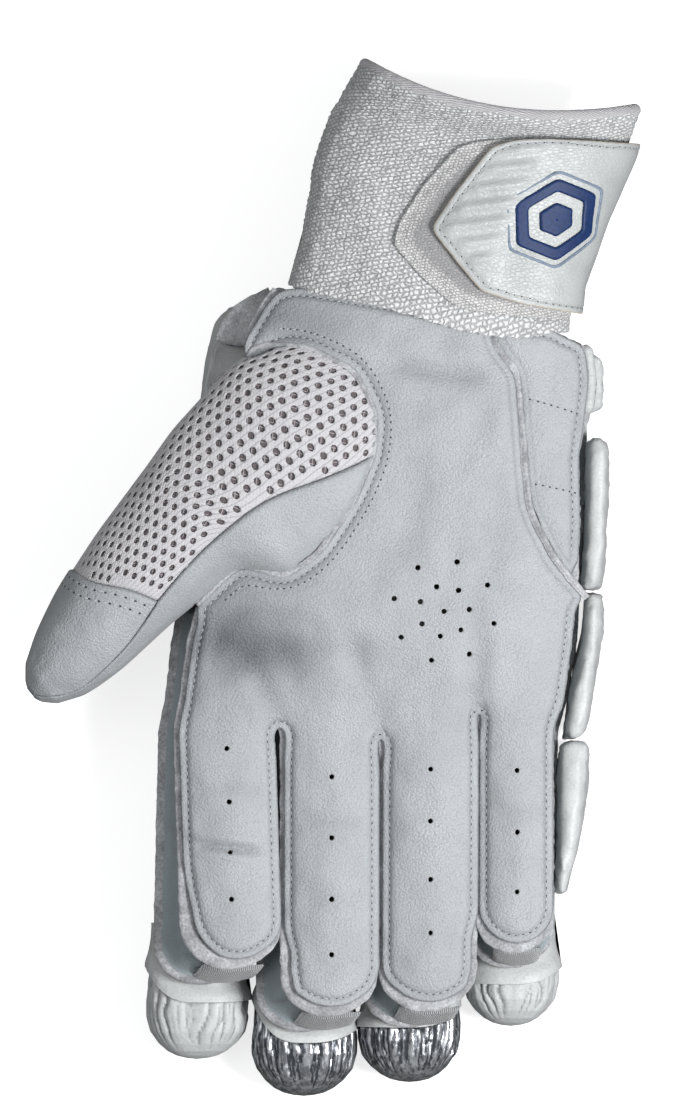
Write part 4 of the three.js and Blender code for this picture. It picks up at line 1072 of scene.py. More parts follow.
@dataclass
class Sewing:
    """Rows of stitches: short strands of thread that dip into needle holes."""

    pitch: float = 2.1
    length: float = 1.2
    radius: float = 0.2
    hole: float = 0.36
    thread: Mesh = field(default_factory=bmesh.new)
    holes: Mesh = field(default_factory=bmesh.new)
    chance: random.Random = field(default_factory=lambda: random.Random(7))

    def dot(self, bm: Mesh, place: Vector, along: Vector, normal: Vector, size: Sequence[float]) -> None:
        """Adds one small ellipsoid lying along a direction on a surface."""
        normal = normal.normalized()
        across = normal.cross(along).normalized()
        along = across.cross(normal)
        turn = Matrix((along, across, normal)).transposed().to_4x4()
        matrix = Matrix.Translation(place) @ turn @ Matrix.Diagonal((*size, 1.0))
        bmesh.ops.create_uvsphere(bm, u_segments=6, v_segments=4, radius=1.0, matrix=matrix)

    def row(self, line: Line, tree: BVHTree, lift: float = 0.03) -> None:
        """Sews along a line on a surface.

        Args:
            line: Points on or near the surface, in drawing millimetres.
            tree: The surface.
            lift: How far the thread's middle stands above it.
        """
        path = resample(line, self.pitch / 2)
        for i in range(1, len(path) - 1):
            along = Vector(path[i + 1] - path[i - 1])
            jitter = Vector(path[i + 1] - path[i]) * self.chance.uniform(-0.12, 0.12)
            place, normal, _, _ = tree.find_nearest(Vector(path[i]) + jitter)
            if place is None or along.length < 1e-6:
                continue
            if normal.z < 0 and abs(normal.z) > 0.3:
                normal = -normal
            along.normalize()
            if i % 2:
                skew = normal.cross(along) * self.chance.uniform(0.05, 0.3)
                size = (self.length / 2, self.radius, self.radius * 0.8)
                self.dot(self.thread, place + normal * lift, along + skew, normal, size)
            else:
                self.dot(self.holes, place, along, normal, (self.hole, self.hole * 0.75, 0.07))

    def inset_rows(
        self, sheet: Sheet, places: np.ndarray, tree: BVHTree, plain: Sequence[tuple[Line, float]] = ()
    ) -> None:
        """Sews all round a laid sheet, a little way in from its edge.

        Args:
            sheet: The cut sheet.
            places: Where its points lie.
            tree: Its surface.
            plain: Lines that no stitches run beside, each with how far that holds.
        """
        inset = STITCH_INSET
        border = sheet.border
        row = border + sideways(border, closed=True) * inset
        gaps, _ = away_from(row, border)
        good = (gaps > inset * 0.93) & inside(row, border)
        for line, reach in plain:
            good &= away_from(row, line, closed=False)[0] > reach
        laid = laid_tree((sheet, places))
        for run in runs_of(good):
            if len(run) > 4:
                heights = [height_over(laid, x, y) for x, y in row[run]]
                self.row(np.column_stack([row[run], heights]), tree)

    def finish(self, name: str, finishes: Finishes) -> None:
        """Makes the stitches and their holes two pieces of the glove."""
        settle(self.thread, f"{name}_thread", [finishes.thread])
        settle(self.holes, f"{name}_needle_holes", [finishes.needle])


def runs_of(good: np.ndarray) -> list[np.ndarray]:
    """The unbroken runs of good places round a closed line, as lists of their numbers."""
    count = len(good)
    if good.all():
        return [np.arange(count + 1) % count]
    start = int(np.argmin(good))
    runs: list[list[int]] = [[]]
    for step in range(count):
        i = (start + step) % count
        if good[i]:
            runs[-1].append(i)
        elif runs[-1]:
            runs.append([])
    return [np.array(run) for run in runs if run]


def laid_tree(*parts: tuple[Sheet, np.ndarray]) -> BVHTree:
    """One tree over laid sheets, each given with the places of its points."""
    verts: list[Vector] = []
    faces: list[tuple[int, ...]] = []
    for sheet, places in parts:
        start = len(verts)
        verts += [Vector(place) for place in places]
        faces += [tuple(int(i) + start for i in face) for face in sheet.faces]
    return BVHTree.FromPolygons(verts, faces)


@dataclass(frozen=True)
class Crease:
    """A fold pressed into a sheet along a line, with the sheet swollen beside it."""

    line: tuple[tuple[float, float], ...]
    width: float
    depth: float

    def drop(self, points: np.ndarray) -> np.ndarray:
        """How far the fold moves each place."""
        gaps, share = away_from(points, np.array(self.line, float), closed=False)
        reach = smooth(share, 0.0, 0.25) * (1 - smooth(share, 0.75, 1.0))
        reach = np.maximum(reach, 0.12) if len(self.line) > 4 else reach
        valley = np.exp(-((gaps / self.width) ** 2))
        banks = np.exp(-(((gaps - 2.1 * self.width) / (1.1 * self.width)) ** 2))
        return reach * self.depth * (0.38 * banks - valley)


# The hand


@dataclass
class Hand:
    """Palm leather, heel panel and the welts between them."""

    drawing: Drawing
    finishes: Finishes
    spacing: float = 1.35
    rings: tuple[float, ...] = (0.6, 1.3, 1.85, 2.2, 2.55, 3.1, 4.0)
    groove: float = 0.42
    puff: float = 0.85
    vent: float = 0.82
    second_row: float = 4.9
    heel_rows: tuple[tuple[tuple[float, float], ...], ...] = (
        ((43.8, 95.7), (52, 93.6), (61.2, 90.5)),
        ((45.5, 71.0), (53, 69.6), (59.7, 67.9)),
    )
    creases: tuple[Crease, ...] = (
        Crease(((-56.5, -14.5), (-49, -17.5), (-40, -16.5), (-29.5, -18.5)), 1.7, 0.45),
        Crease(((-58.5, -29.5), (-50, -33.5), (-41, -34.5), (-28, -36)), 1.2, 1.5),
        Crease(((-62, 28), (-45, 25), (-28, 22), (-12, 18)), 8.0, 1.6),
        Crease(((-25, -22), (-18, -26.5), (-9, -26), (0, -28.5)), 1.7, 0.45),
        Crease(((-26, -44), (-18, -48), (-8, -49), (1, -47.5)), 2.2, 0.3),
        Crease(((3.5, -30), (12, -33), (22, -32), (30, -34)), 2.0, 0.3),
        Crease(((30.5, -20), (38, -24), (46, -23), (52, -25)), 1.8, 0.4),
        Crease(((2.3, 106.4), (10, 104.9), (18.3, 103.2), (27, 102.4), (37.1, 101.5)), 2.6, 1.0),
        Crease(((-26.8, 0), (-29, 7), (-33, 15), (-39, 24)), 2.6, 0.75),
        Crease(((0.8, -3), (0, 8), (-4, 20), (-9, 33)), 3.2, 0.6),
        Crease(((29, 4), (30.5, 14), (31, 26), (29.5, 40)), 3.0, 0.65),
        Crease(((-50, 12), (-36, 20), (-20, 24), (-4, 22), (12, 17)), 3.4, 0.4),
        Crease(((-48, 30), (-36, 34), (-24, 33), (-10, 27)), 2.8, 0.45),
        Crease(((6, 46), (12, 58), (14, 72), (12, 84)), 4.2, 0.5),
        Crease(((20, 70), (27, 78), (32, 88), (34, 97)), 3.0, 0.35),
    )
    nudges: tuple[tuple[float, float, float, float, float], ...] = (
        # a place on the outline, how far round it the outline moves, and how much across and up
        (-54.0, -60.0, 13.0, 3.0, 0.0),
        (-32.0, 113.0, 4.5, -4.0, -5.0),
    )
    surface: BVHTree | None = None
    borders: dict[str, Line] = field(default_factory=dict)

    def __post_init__(self) -> None:
        """Draws the two seams that the panels meet at."""
        self.heel = curve_through([on_palm(row) for row in HEEL_SEAM], 0.8)
        start = (THUMB_OPENING[0][0] - 0.026, THUMB_OPENING[0][1] - 0.04)
        self.opening = curve_through([on_palm(row) for row in (start, *THUMB_OPENING)], 0.8)

    def fitted(self, rim: Line) -> Line:
        """A panel's outline with the stalls' edges let out towards each other and their ends taken in."""
        made = turned_left(rim)
        outward = -sideways(made, closed=True)
        let_out = np.zeros(len(made))
        for index in range(len(FINGERS) - 1):
            x, y = crotch(index, Side.FRONT)
            between = np.abs(made[:, 0] - x) < 4.0
            let_out = np.maximum(let_out, between * smooth(-(made[:, 1] - y), 3.0, 12.0))
        lower = np.zeros(len(made))
        for finger in FINGERS:
            end = stall_end(finger, Side.FRONT)
            middle, half = stall(finger, Side.FRONT, end)
            near = np.abs(made[:, 0] - middle) < half + 2.5
            lower = np.maximum(lower, near * (1 - smooth(made[:, 1] - end, 2.0, 12.0)))
        made = made + outward * (0.4 * let_out * (1 - lower) - 1.5 * lower)[:, None]
        for x, y, radius, shift, lift in self.nudges:
            pull = np.exp(-(((made[:, 0] - x) ** 2 + (made[:, 1] - y) ** 2) / radius**2))
            made = made + pull[:, None] * (shift, lift)
        return made

    def drawn_to(self, rim: Line, seam: Line, reach: float, gap: float) -> Line:
        """A panel's outline moved up to a seam that it lies beside.

        Args:
            rim: The closed outline.
            seam: The seam.
            reach: How near a place must be to be moved.
            gap: The distance from the seam that is left.

        Returns:
            The moved outline.
        """
        gaps, share = away_from(rim, seam, closed=False)
        spots = share * (len(seam) - 1)
        nearest = np.column_stack([np.interp(spots, np.arange(len(seam)), seam[:, k]) for k in range(2)])
        pull = (1 - smooth(gaps, reach * 0.7, reach))[:, None]
        wanted = nearest + (rim - nearest) / np.maximum(gaps, 1e-6)[:, None] * gap
        return rim + (wanted - rim) * pull

    def lay(self, name: str, eyelets: np.ndarray | None = None) -> tuple[Sheet, np.ndarray]:
        """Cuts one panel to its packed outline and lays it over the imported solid.

        Args:
            name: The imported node.
            eyelets: Middles of its vents.

        Returns:
            The cut sheet and the places of its points.
        """
        rim = eased(resample(self.drawing.rims(name)[0], 1.15, closed=True), 5, closed=True)
        for seam, reach, gap in ((self.heel, 5.0, 0.55), (self.opening, 5.0, 0.5)):
            rim = self.drawn_to(rim, seam, reach, gap)
        rim = self.fitted(rim)
        rim = eased(resample(rim, 1.15, closed=True), 2, closed=True)
        sheet = cut_sheet(rim, self.spacing, self.rings, eyelets, self.vent)
        self.borders[name] = sheet.border
        inner = sheet.points.copy()
        held = sheet.edge < 0.02
        inward = sideways(sheet.border, closed=True)
        apart = np.linalg.norm(sheet.points[held][:, None] - sheet.border[None], axis=2)
        order = np.argmin(apart, axis=1)
        inner[held] += inward[order] * 0.5
        heights = np.array([self.drawing.top(x, y, name) for x, y in inner])
        level = np.full(len(sheet.border), np.nan)
        level[order] = heights[held]
        level = np.interp(np.arange(len(level)), np.flatnonzero(~np.isnan(level)), level[~np.isnan(level)])
        level = evened(level, 40, closed=True)
        heights[held] = level[order]
        heights = sheet.eased(heights, 70, held)
        heights += self.relief(sheet)
        return sheet, np.column_stack([sheet.points, heights])

    def relief(self, sheet: Sheet) -> np.ndarray:
        """The panel's shape over its solid: flat seam edge, sewn groove, soft crown and creases."""
        edge = sheet.edge
        height = self.puff * (1 - np.exp(-np.maximum(edge - STITCH_INSET, 0) / 2.6))
        plain = 1 - smooth(away_from(sheet.points, self.heel, closed=False)[0], 3.5, 6.0)
        height -= (1 - plain) * self.groove * np.exp(-(((edge - STITCH_INSET) / 0.55) ** 2))
        height -= plain * 0.9 * np.exp(-edge / 1.1)
        calm = smooth(edge, 2.5, 7.0)
        for crease in self.creases:
            height += crease.drop(sheet.points) * (0.25 + 0.75 * calm)
        for i, (x, y) in enumerate(sheet.points):
            waves = grain(x / 17, y / 21, 3.1) * 0.7 + grain(x / 6.5, y / 9, 8.7) * 0.22
            pull = grain(x / 3.1, y / 3.1, 1.4, 1) * 0.12 * math.exp(-((edge[i] - 3.4) ** 2) / 3.5)
            curl = grain(x / 4.0, y / 4.0, 5.0, 1) * 0.22 * math.exp(-edge[i] / 0.8)
            height[i] += waves * calm[i] + pull + curl
        return height

    def shade(self, sheet: Sheet) -> np.ndarray:
        """How dark each place is marked: the needle line, the cut edge, and painted shade in the folds, the
        palm's hollow and its top corner.
        """
        edge = sheet.edge
        tone = 0.3 * np.exp(-(((edge - STITCH_INSET) / 0.4) ** 2)) + 0.55 * np.exp(-edge / 0.3)
        # Painted shade along each fold.
        for crease in self.creases:
            gaps, share = away_from(sheet.points, np.array(crease.line, float), closed=False)
            reach = smooth(share, 0.0, 0.25) * (1 - smooth(share, 0.75, 1.0))
            tone += 0.22 * crease.depth * reach * np.exp(-((gaps / (0.9 * crease.width)) ** 2))
        # Painted shade in the palm's hollow and at its top corner.
        hollow = np.exp(-(((sheet.points[:, 0] + 38) / 17) ** 2 + ((sheet.points[:, 1] - 26) / 15) ** 2))
        corner = np.exp(-(((sheet.points[:, 0] + 22) / 13) ** 2 + ((sheet.points[:, 1] - 118) / 9) ** 2))
        return tone + 0.42 * hollow + 0.3 * corner

    def build(self) -> None:
        """Builds the two panels, their stitches and the welts."""
        vents = np.array([line.mean(axis=0) for line in self.drawing.rims("palm_leather")[1:]])
        sewing = Sewing()
        laid = []
        for name, eyelets in (("palm_leather", vents), ("heel_panel", None)):
            sheet, places = self.lay(name, eyelets)
            bm = sheet_mesh(sheet, places, self.shade(sheet))
            tree = BVHTree.FromBMesh(bm)
            laid.append((sheet, places))
            sewing.inset_rows(sheet, places, tree, [(self.heel, 5.0)])
            finishes = [self.finishes.palm, self.finishes.raw]
            settle(bm, f"{name}_cover", finishes, [name], LEATHER * SURFACE)
        self.surface = laid_tree(*laid)
        self.extra_rows(sewing)
        sewing.finish("palm", self.finishes)
        self.welts()

    def height(self, x: float, y: float) -> float:
        """The height of the laid leather at a place, or of its nearest place."""
        return height_over(self.surface, x, y)

    def on_leather(self, line: Line) -> Line:
        """A flat line laid on the leather."""
        return np.column_stack([line, [self.height(x, y) for x, y in line]])

    def extra_rows(self, sewing: Sewing) -> None:
        """Sews the second row round the thumb opening and the two lines across the heel."""
        opening = curve_through([on_palm(row) for row in THUMB_OPENING], 1.5)
        second = opening + sideways(opening) * self.second_row
        sewing.row(self.on_leather(second[4:-4]), self.surface)
        for line in self.heel_rows:
            sewing.row(self.on_leather(curve_through(line, 1.4)), self.surface)

    def welts(self) -> None:
        """Builds the raised raw edge of the heel seam and the one round the thumb opening."""
        for node, table, breadth, rise in (
            ("heel_welt", self.heel, 1.05, 1.25),
            ("thumb_opening_welt", self.opening, 0.85, 1.0),
        ):
            tree = self.drawing.tree(node)
            line = resample(table, 0.8)
            low = [tree.find_nearest(Vector((x, y, self.height(x, y))))[3] for x, y in line]
            line = line[np.array(low) < 3.5]
            base = evened((self.height(x, y) for x, y in line), 12)
            side = sideways(line)
            last = len(line) - 1

            def place(u: float, v: float) -> Vector:
                """The welt's surface at a share round it and a share along it."""
                i = round(v * last)
                angle = 2 * math.pi * u
                along = i * 0.8
                wave = 0.16 * grain(along / 5, 2.0, rise) + 0.1 * grain(along / 1.3, u * 6, 9.0)
                out = breadth * (1 + wave) * math.copysign(abs(math.cos(angle)) ** 0.6, math.cos(angle))
                up = rise * (1 + wave) * math.copysign(abs(math.sin(angle)) ** 0.7, math.sin(angle))
                split = -0.35 * math.exp(-(((u - 0.3) / 0.025) ** 2))
                spot = line[i] + side[i] * (out + 0.25 * grain(along / 9, 7.0))
                return Vector((spot[0], spot[1], base[i] - 0.55 + up + split))

            bm = closed_up(mapped_grid(26, last, place, (8.0, last * 0.8)))
            settle(bm, f"{node}_edge", [self.finishes.raw], [node])


# The stalls' side walls


@dataclass
class Walls:
    """Fabric side walls of the fingers and the hand, with the raw edges above and below them."""

    drawing: Drawing
    finishes: Finishes
    hand: Hand
    spacing: float = 2.175
    section: tuple[tuple[float, float, float], ...] = (
        # share of the way down, inset, roundness kept for the raw edge
        (0.0, 0.35, 0.0),
        (0.0, 3.2, 0.0),
        (0.3, 4.0, 0.0),
        (0.7, 4.0, 0.0),
        (1.0, 3.2, 0.0),
        (1.0, 0.4, 0.0),
        (0.96, 0.0, 1.0),
        (0.9, 0.1, 1.0),
        (0.875, 1.1, 0.0),
        (0.82, 2.3, 0.0),
        (0.7, 2.75, 0.0),
        (0.55, 2.2, 0.0),
        (0.4, 1.95, 0.0),
        (0.28, 2.4, 0.0),
        (0.17, 2.5, 0.0),
        (0.12, 1.4, 0.0),
        (0.1, 0.1, 1.0),
        (0.05, -0.12, 1.0),
        (0.01, 0.0, 1.0),
    )

    def paths(self) -> Iterable[tuple[str, Line, Line]]:
        """The front and back edge of each wall, point for point."""
        for index, finger in enumerate(FINGERS):
            both = []
            for side in Side:
                line = stall_outline(index, side)
                if index:
                    x, y = crotch(index - 1, side)
                    line = np.vstack([[(x + 0.3, y + 0.3)], line])
                if index < len(FINGERS) - 1:
                    x, y = crotch(index, side)
                    line = np.vstack([line, [(x - 0.3, y + 0.3)]])
                if finger.name == "index":
                    line = np.vstack([edge_run(THUMB_EDGE, 0.06, 0.45, side, 36), line])
                if finger.name == "little":
                    line = np.vstack([line, edge_run(OUTER_EDGE, 0.06, 0.867, side, 68)])
                both.append(line)
            yield f"gusset_{finger.name}", both[0], both[1]
        yield "gusset_wrist", *(edge_run(THUMB_EDGE, 0.62, 0.99, side, 34) for side in Side)

    def build(self) -> None:
        """Builds every wall."""
        for seed, (node, front, back) in enumerate(self.paths()):
            self.wall_piece(node, front, back, seed * 31.7)

    def wall_piece(self, node: str, front: Line, back: Line, seed: float) -> None:
        """Builds one wall.

        Args:
            node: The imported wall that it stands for.
            front: Its upper edge.
            back: Its lower edge.
            seed: Start of its own unevenness.
        """
        pair = resample(np.hstack([front, back]), self.spacing)
        pair = eased(pair, 3)
        front, back = pair[:, :2], pair[:, 2:]
        tree = self.drawing.tree(node)
        front_in, back_in = sideways(front), sideways(back)
        high = evened((self.hand.height(*spot) for spot in front + front_in * 0.4), 10)
        high = high - LEATHER * SURFACE - 0.12
        low = evened((self.drawing.top(*spot, "back_panel") for spot in back + back_in), 10)
        spots = np.column_stack([front + front_in * 1.2, high])
        near = np.array([tree.find_nearest(Vector(spot))[3] for spot in spots])
        kept = np.flatnonzero(near < 2.6)
        span = slice(kept[0], kept[-1] + 1)
        front, back, front_in, back_in = front[span], back[span], front_in[span], back_in[span]
        high, low = high[span], low[span] + 0.3
        rows = np.array(self.section)
        last = len(front) - 1
        steps = np.arange(len(front)) * self.spacing
        open_side = smooth(front_in[:, 0], -0.75, 0.35)

        def place(u: float, v: float) -> Vector:
            """The wall's surface at a share round its section and a share along it."""
            i = round(v * last)
            where = (u % 1.0) * len(rows)
            k = int(where) % len(rows)
            part = where - int(where)
            down, inset, raw = lerp(rows[k], rows[(k + 1) % len(rows)], part)
            reach = raw * open_side[i] * (1.4 if down < 0.5 else 1.2)
            fuzz = raw * 0.3 * grain(steps[i] / 2.2, down * 9, seed)
            fold = 0.0
            if inset > 1.0 and k > 6:
                fold = 1.5 * grain(steps[i] / 6.5, down * 1.6, seed + 3)
                fold += 0.4 * grain(steps[i] / 2.4, down * 3, seed)
            along = inset - reach - fuzz - fold * (1 - abs(2 * down - 1)) * open_side[i]
            upper = front[i] + front_in[i] * along
            lower = back[i] + back_in[i] * along
            flat = lerp(upper, lower, smooth(down, 0.08, 0.92))
            wave = raw * 0.35 * grain(steps[i] / 4.4, 4.0 + down * 5, seed + 7)
            return Vector((flat[0], flat[1], lerp(high[i], low[i], down) + wave))

        bm = closed_up(mapped_grid(len(rows) * 2, last, place, (40.0, steps[last])))
        uv = bm.loops.layers.uv.active
        for face in bm.faces:
            around = sum(loop[uv].uv.x for loop in face.loops) / len(face.loops) / 0.04 * len(rows)
            k = int(around)
            if around < 1 or rows[k % len(rows)][2] + rows[(k + 1) % len(rows)][2] > 0:
                face.material_index = 1
        cloth = self.finishes.raw if node == "gusset_wrist" else self.finishes.gusset
        settle(bm, f"{node}_wall", [cloth, self.finishes.raw], [node])


@dataclass
class Backing:
    """The sheet under the hand that carries the rolls, and the tabs that join it to the stalls."""

    drawing: Drawing
    finishes: Finishes
    tab_spread: float = 0.64
    tab_thickness: float = 1.2

    def build(self) -> None:
        """Builds the sheet and the four tabs."""
        rim = eased(resample(self.drawing.rims("back_panel")[0], 1.3, closed=True), 5, closed=True)
        sheet = cut_sheet(rim, 4.0, (0.5, 1.1, 2.0, 3.2))
        heights = np.array([self.drawing.top(x, y, "back_panel") for x, y in sheet.points])
        heights = sheet.eased(heights, 8)
        fuzz = np.array([grain(x / 2.0, y / 2.0, 4.0) for x, y in sheet.points])
        heights += fuzz * 0.2 * np.exp(-sheet.edge / 1.2)
        bm = sheet_mesh(sheet, np.column_stack([sheet.points, heights]), 0.4 * np.exp(-sheet.edge / 1.5))
        finishes = [self.finishes.hide, self.finishes.raw]
        settle(bm, "backing_sheet", finishes, ["back_panel"], 1.9)
        for finger in FINGERS:
            self.tab(finger)

    def tab(self, finger: Finger) -> None:
        """Builds one finger's elastic tab."""
        head = stall_end(finger, Side.FRONT) + SEAM_EDGE * 0.3
        foot = stall_end(finger, Side.BACK) + 2.3
        front = stall(finger, Side.FRONT, stall_end(finger, Side.FRONT))[0]
        middle = (front + stall(finger, Side.BACK, stall_end(finger, Side.BACK))[0]) / 2
        half = finger.halves[0] * PALM_WIDTH * self.tab_spread
        high = SEAM_HEIGHT - LEATHER - 1.2 - 0.9
        low = ROLL_DEPTH + 1.3
        thick = self.tab_thickness

        def place(u: float, v: float) -> Vector:
            """The tab's surface at a share across it and a share round its length."""
            outer = v < 0.5
            down = v * 2 if outer else 2 - v * 2
            across = 2 * u - 1
            bulge = thick * (1 - across**2)
            face = (thick if outer else 0.0) * (0.35 + 0.65 * (1 - across**8))
            y = lerp(head, foot, down) - bulge - face
            y -= 1.1 * math.sin(math.pi * down) + 0.25 * grain(across * 1.5, down * 2, half)
            rib = 0.09 * math.sin(down * 2 * math.pi * 9) if outer else 0.0
            x = lerp(front, middle, down) + across * half
            return Vector((x, y - rib, lerp(high, low, down) - 0.8 * math.sin(math.pi * down)))

        bm = closed_up(mapped_grid(40, 72, place, (2 * half, 40.0)))
        settle(bm, f"tab_{finger.name}_tape", [self.finishes.tab], [f"tab_{finger.name}"])


# The finger ends


@dataclass
class FingerEnds:
    """The ends of the finger rolls: a smooth border, and hide gathered round a dome."""

    finishes: Finishes
    length: float = 40.0
    seams: tuple[tuple[float, float, float], ...] = (
        # for each finger, how far from the tip the gathers start: thumb side, middle and outer side
        (27.0, 16.8, 17.5),
        (28.0, 15.8, 20.0),
        (16.5, 16.3, 22.5),
        (13.5, 12.4, 17.5),
    )
    around: int = 168
    along: int = 64
    fold: float = 1.15
    profile: tuple[tuple[float, float, float], ...] = (
        # distance from the tip, breadth and depth as shares of the roll's
        (0.0, 0.02, 0.02),
        (0.25, 0.26, 0.27),
        (1.0, 0.47, 0.49),
        (2.4, 0.65, 0.68),
        (4.6, 0.81, 0.83),
        (8.0, 0.95, 0.97),
        (12.5, 1.01, 1.05),
        (17.0, 1.0, 1.06),
        (21.0, 0.955, 1.02),
        (26.0, 0.93, 0.99),
        (40.0, 0.86, 0.95),
    )

    def build(self) -> None:
        """Builds the four ends."""
        for index, finger in enumerate(FINGERS):
            silver = finger.name in ("middle", "ring")
            self.gathered(finger, silver, index * 17.3)
            self.border(finger, index * 5.9)

    def ring(self, finger: Finger, back: float, angle: float, grow: float) -> Vector:
        """The plain surface of an end.

        Args:
            finger: Whose end.
            back: Distance from the tip.
            angle: Place round the end, from the little-finger side over the top.
            grow: Distance outside the surface.

        Returns:
            The place, in drawing millimetres.
        """
        rows = np.array(self.profile)
        breadth = np.interp(back, rows[:, 0], rows[:, 1])
        depth = np.interp(back, rows[:, 0], rows[:, 2])
        out = math.copysign(abs(math.cos(angle)) ** 0.82, math.cos(angle))
        up = math.copysign(abs(math.sin(angle)) ** 0.82, math.sin(angle))
        half = finger.cap_half * PALM_WIDTH * breadth + grow
        tall = ROLL_DEPTH / 2 * depth + grow
        y = -finger.cap_reach * FINGER_LENGTH + back
        height = max(ROLL_DEPTH * 0.49 + tall * up, 0.05)
        return Vector((finger.cap * PALM_WIDTH + half * out, y, height))

    def seam(self, finger: Finger, angle: float) -> float:
        """Distance from the tip of the line where the gathers start, at a place round the end."""
        left, middle, right = self.seams[FINGERS.index(finger)]
        out = math.cos(angle)
        return middle + ((right if out > 0 else left) - middle) * abs(out) ** 2.2

    def pleat(self, angle: float, back: float, seam: float, seed: float, sharp: float) -> float:
        """How far the gathers lift the hide at a place."""
        share = min(max(back / seam, 0.0), 1.0)
        x, y = math.cos(angle), math.sin(angle)
        drift = 0.5 * grain(back / 7, seed, angle, 1)
        count = 6.4 if sharp >= 1.0 else 3.7
        broad = grain(x * count + drift, y * count, seed + back / 40, 1)
        fine = grain(x * 15, y * 15, seed + 4 + back / 12, 1)
        folds = min(1.0, abs(broad + (0.35 * fine if sharp >= 1.0 else 0.1 * fine)) * 2.6) ** 0.6
        strength = smooth(share, 0.05, 0.45) * (0.3 + 0.7 * share)
        return sharp * strength * (1.7 * folds + 0.4 * fine)

    def gathered(self, finger: Finger, silver: bool, seed: float) -> None:
        """Builds the gathered end, closed inside the border."""
        sharp = 1.0 if silver else 0.85

        def place(u: float, v: float) -> Vector:
            """The gathered hide at a share round it and a share back from the tip."""
            angle = 2 * math.pi * u
            seam = self.seam(finger, angle)
            back = seam * (v**1.35) * 1.06
            tuck = 1.9 * smooth(v, 0.93, 1.0)
            lift = self.pleat(angle, back, seam, seed, sharp) * (1 - smooth(v, 0.95, 1.0))
            return self.ring(finger, back, angle, lift - tuck - 1.2)

        bm = closed_up(mapped_grid(self.around, self.along, place, (80.0, 26.0)))
        self.shade_folds(bm, sharp)
        finish = self.finishes.foil if silver else self.finishes.hide
        piece = settle(bm, f"gathered_end_{finger.name}", [finish])

    def shade_folds(self, bm: Mesh, depth: float) -> None:
        """Marks how deep each place lies in a fold, by the bend of the surface round it, as painted shade in
        the fold.
        """
        tone = bm.verts.layers.float.new("shade")
        bm.normal_update()
        for vert in bm.verts:
            near = [edge.other_vert(vert).co for edge in vert.link_edges]
            mean = sum(near, Vector()) / len(near)
            bend = (mean - vert.co).dot(vert.normal)
            vert[tone] = depth * min(max(bend * 9.0, 0.0), 0.9)

    def border(self, finger: Finger, seed: float) -> None:
        """Builds the smooth part behind the gathers, with its rolled edge."""

        def place(u: float, v: float) -> Vector:
            """The border at a share round it and a share from its inner lip back to the roll."""
            angle = 2 * math.pi * u
            seam = self.seam(finger, angle)
            if v < 0.16:
                turn = v / 0.16
                back = seam + 0.9 - 1.1 * math.sin(math.pi * turn * 0.5)
                grow = lerp(-1.6, self.fold, turn**0.8)
            else:
                share = (v - 0.16) / 0.84
                back = lerp(seam - 0.2, self.length - 0.4, share**1.25)
                grow = self.fold * (1 - smooth(back - seam, 1.2, 5.5) * 0.75)
            wave = 0.45 * grain(angle * 1.7, back / 7, seed) * smooth(v, 0.2, 0.5)
            pucker = 0.2 * grain(angle * 9, back / 5, seed + 2) * math.exp(-(((v - 0.25) / 0.12) ** 2))
            return self.ring(finger, back, angle, grow + wave + pucker)

        bm = closed_up(mapped_grid(96, 44, place, (80.0, 22.0)))
        name = f"roll_end_{finger.name}"
        settle(bm, f"border_{finger.name}", [self.finishes.hide], [name])


# The foam blocks

HIDE_CLOTH = {
    "quality": 4,
    "mass": 0.25,
    "tension_stiffness": 12,
    "compression_stiffness": 12,
    "shear_stiffness": 6,
    "bending_stiffness": 0.4,
}


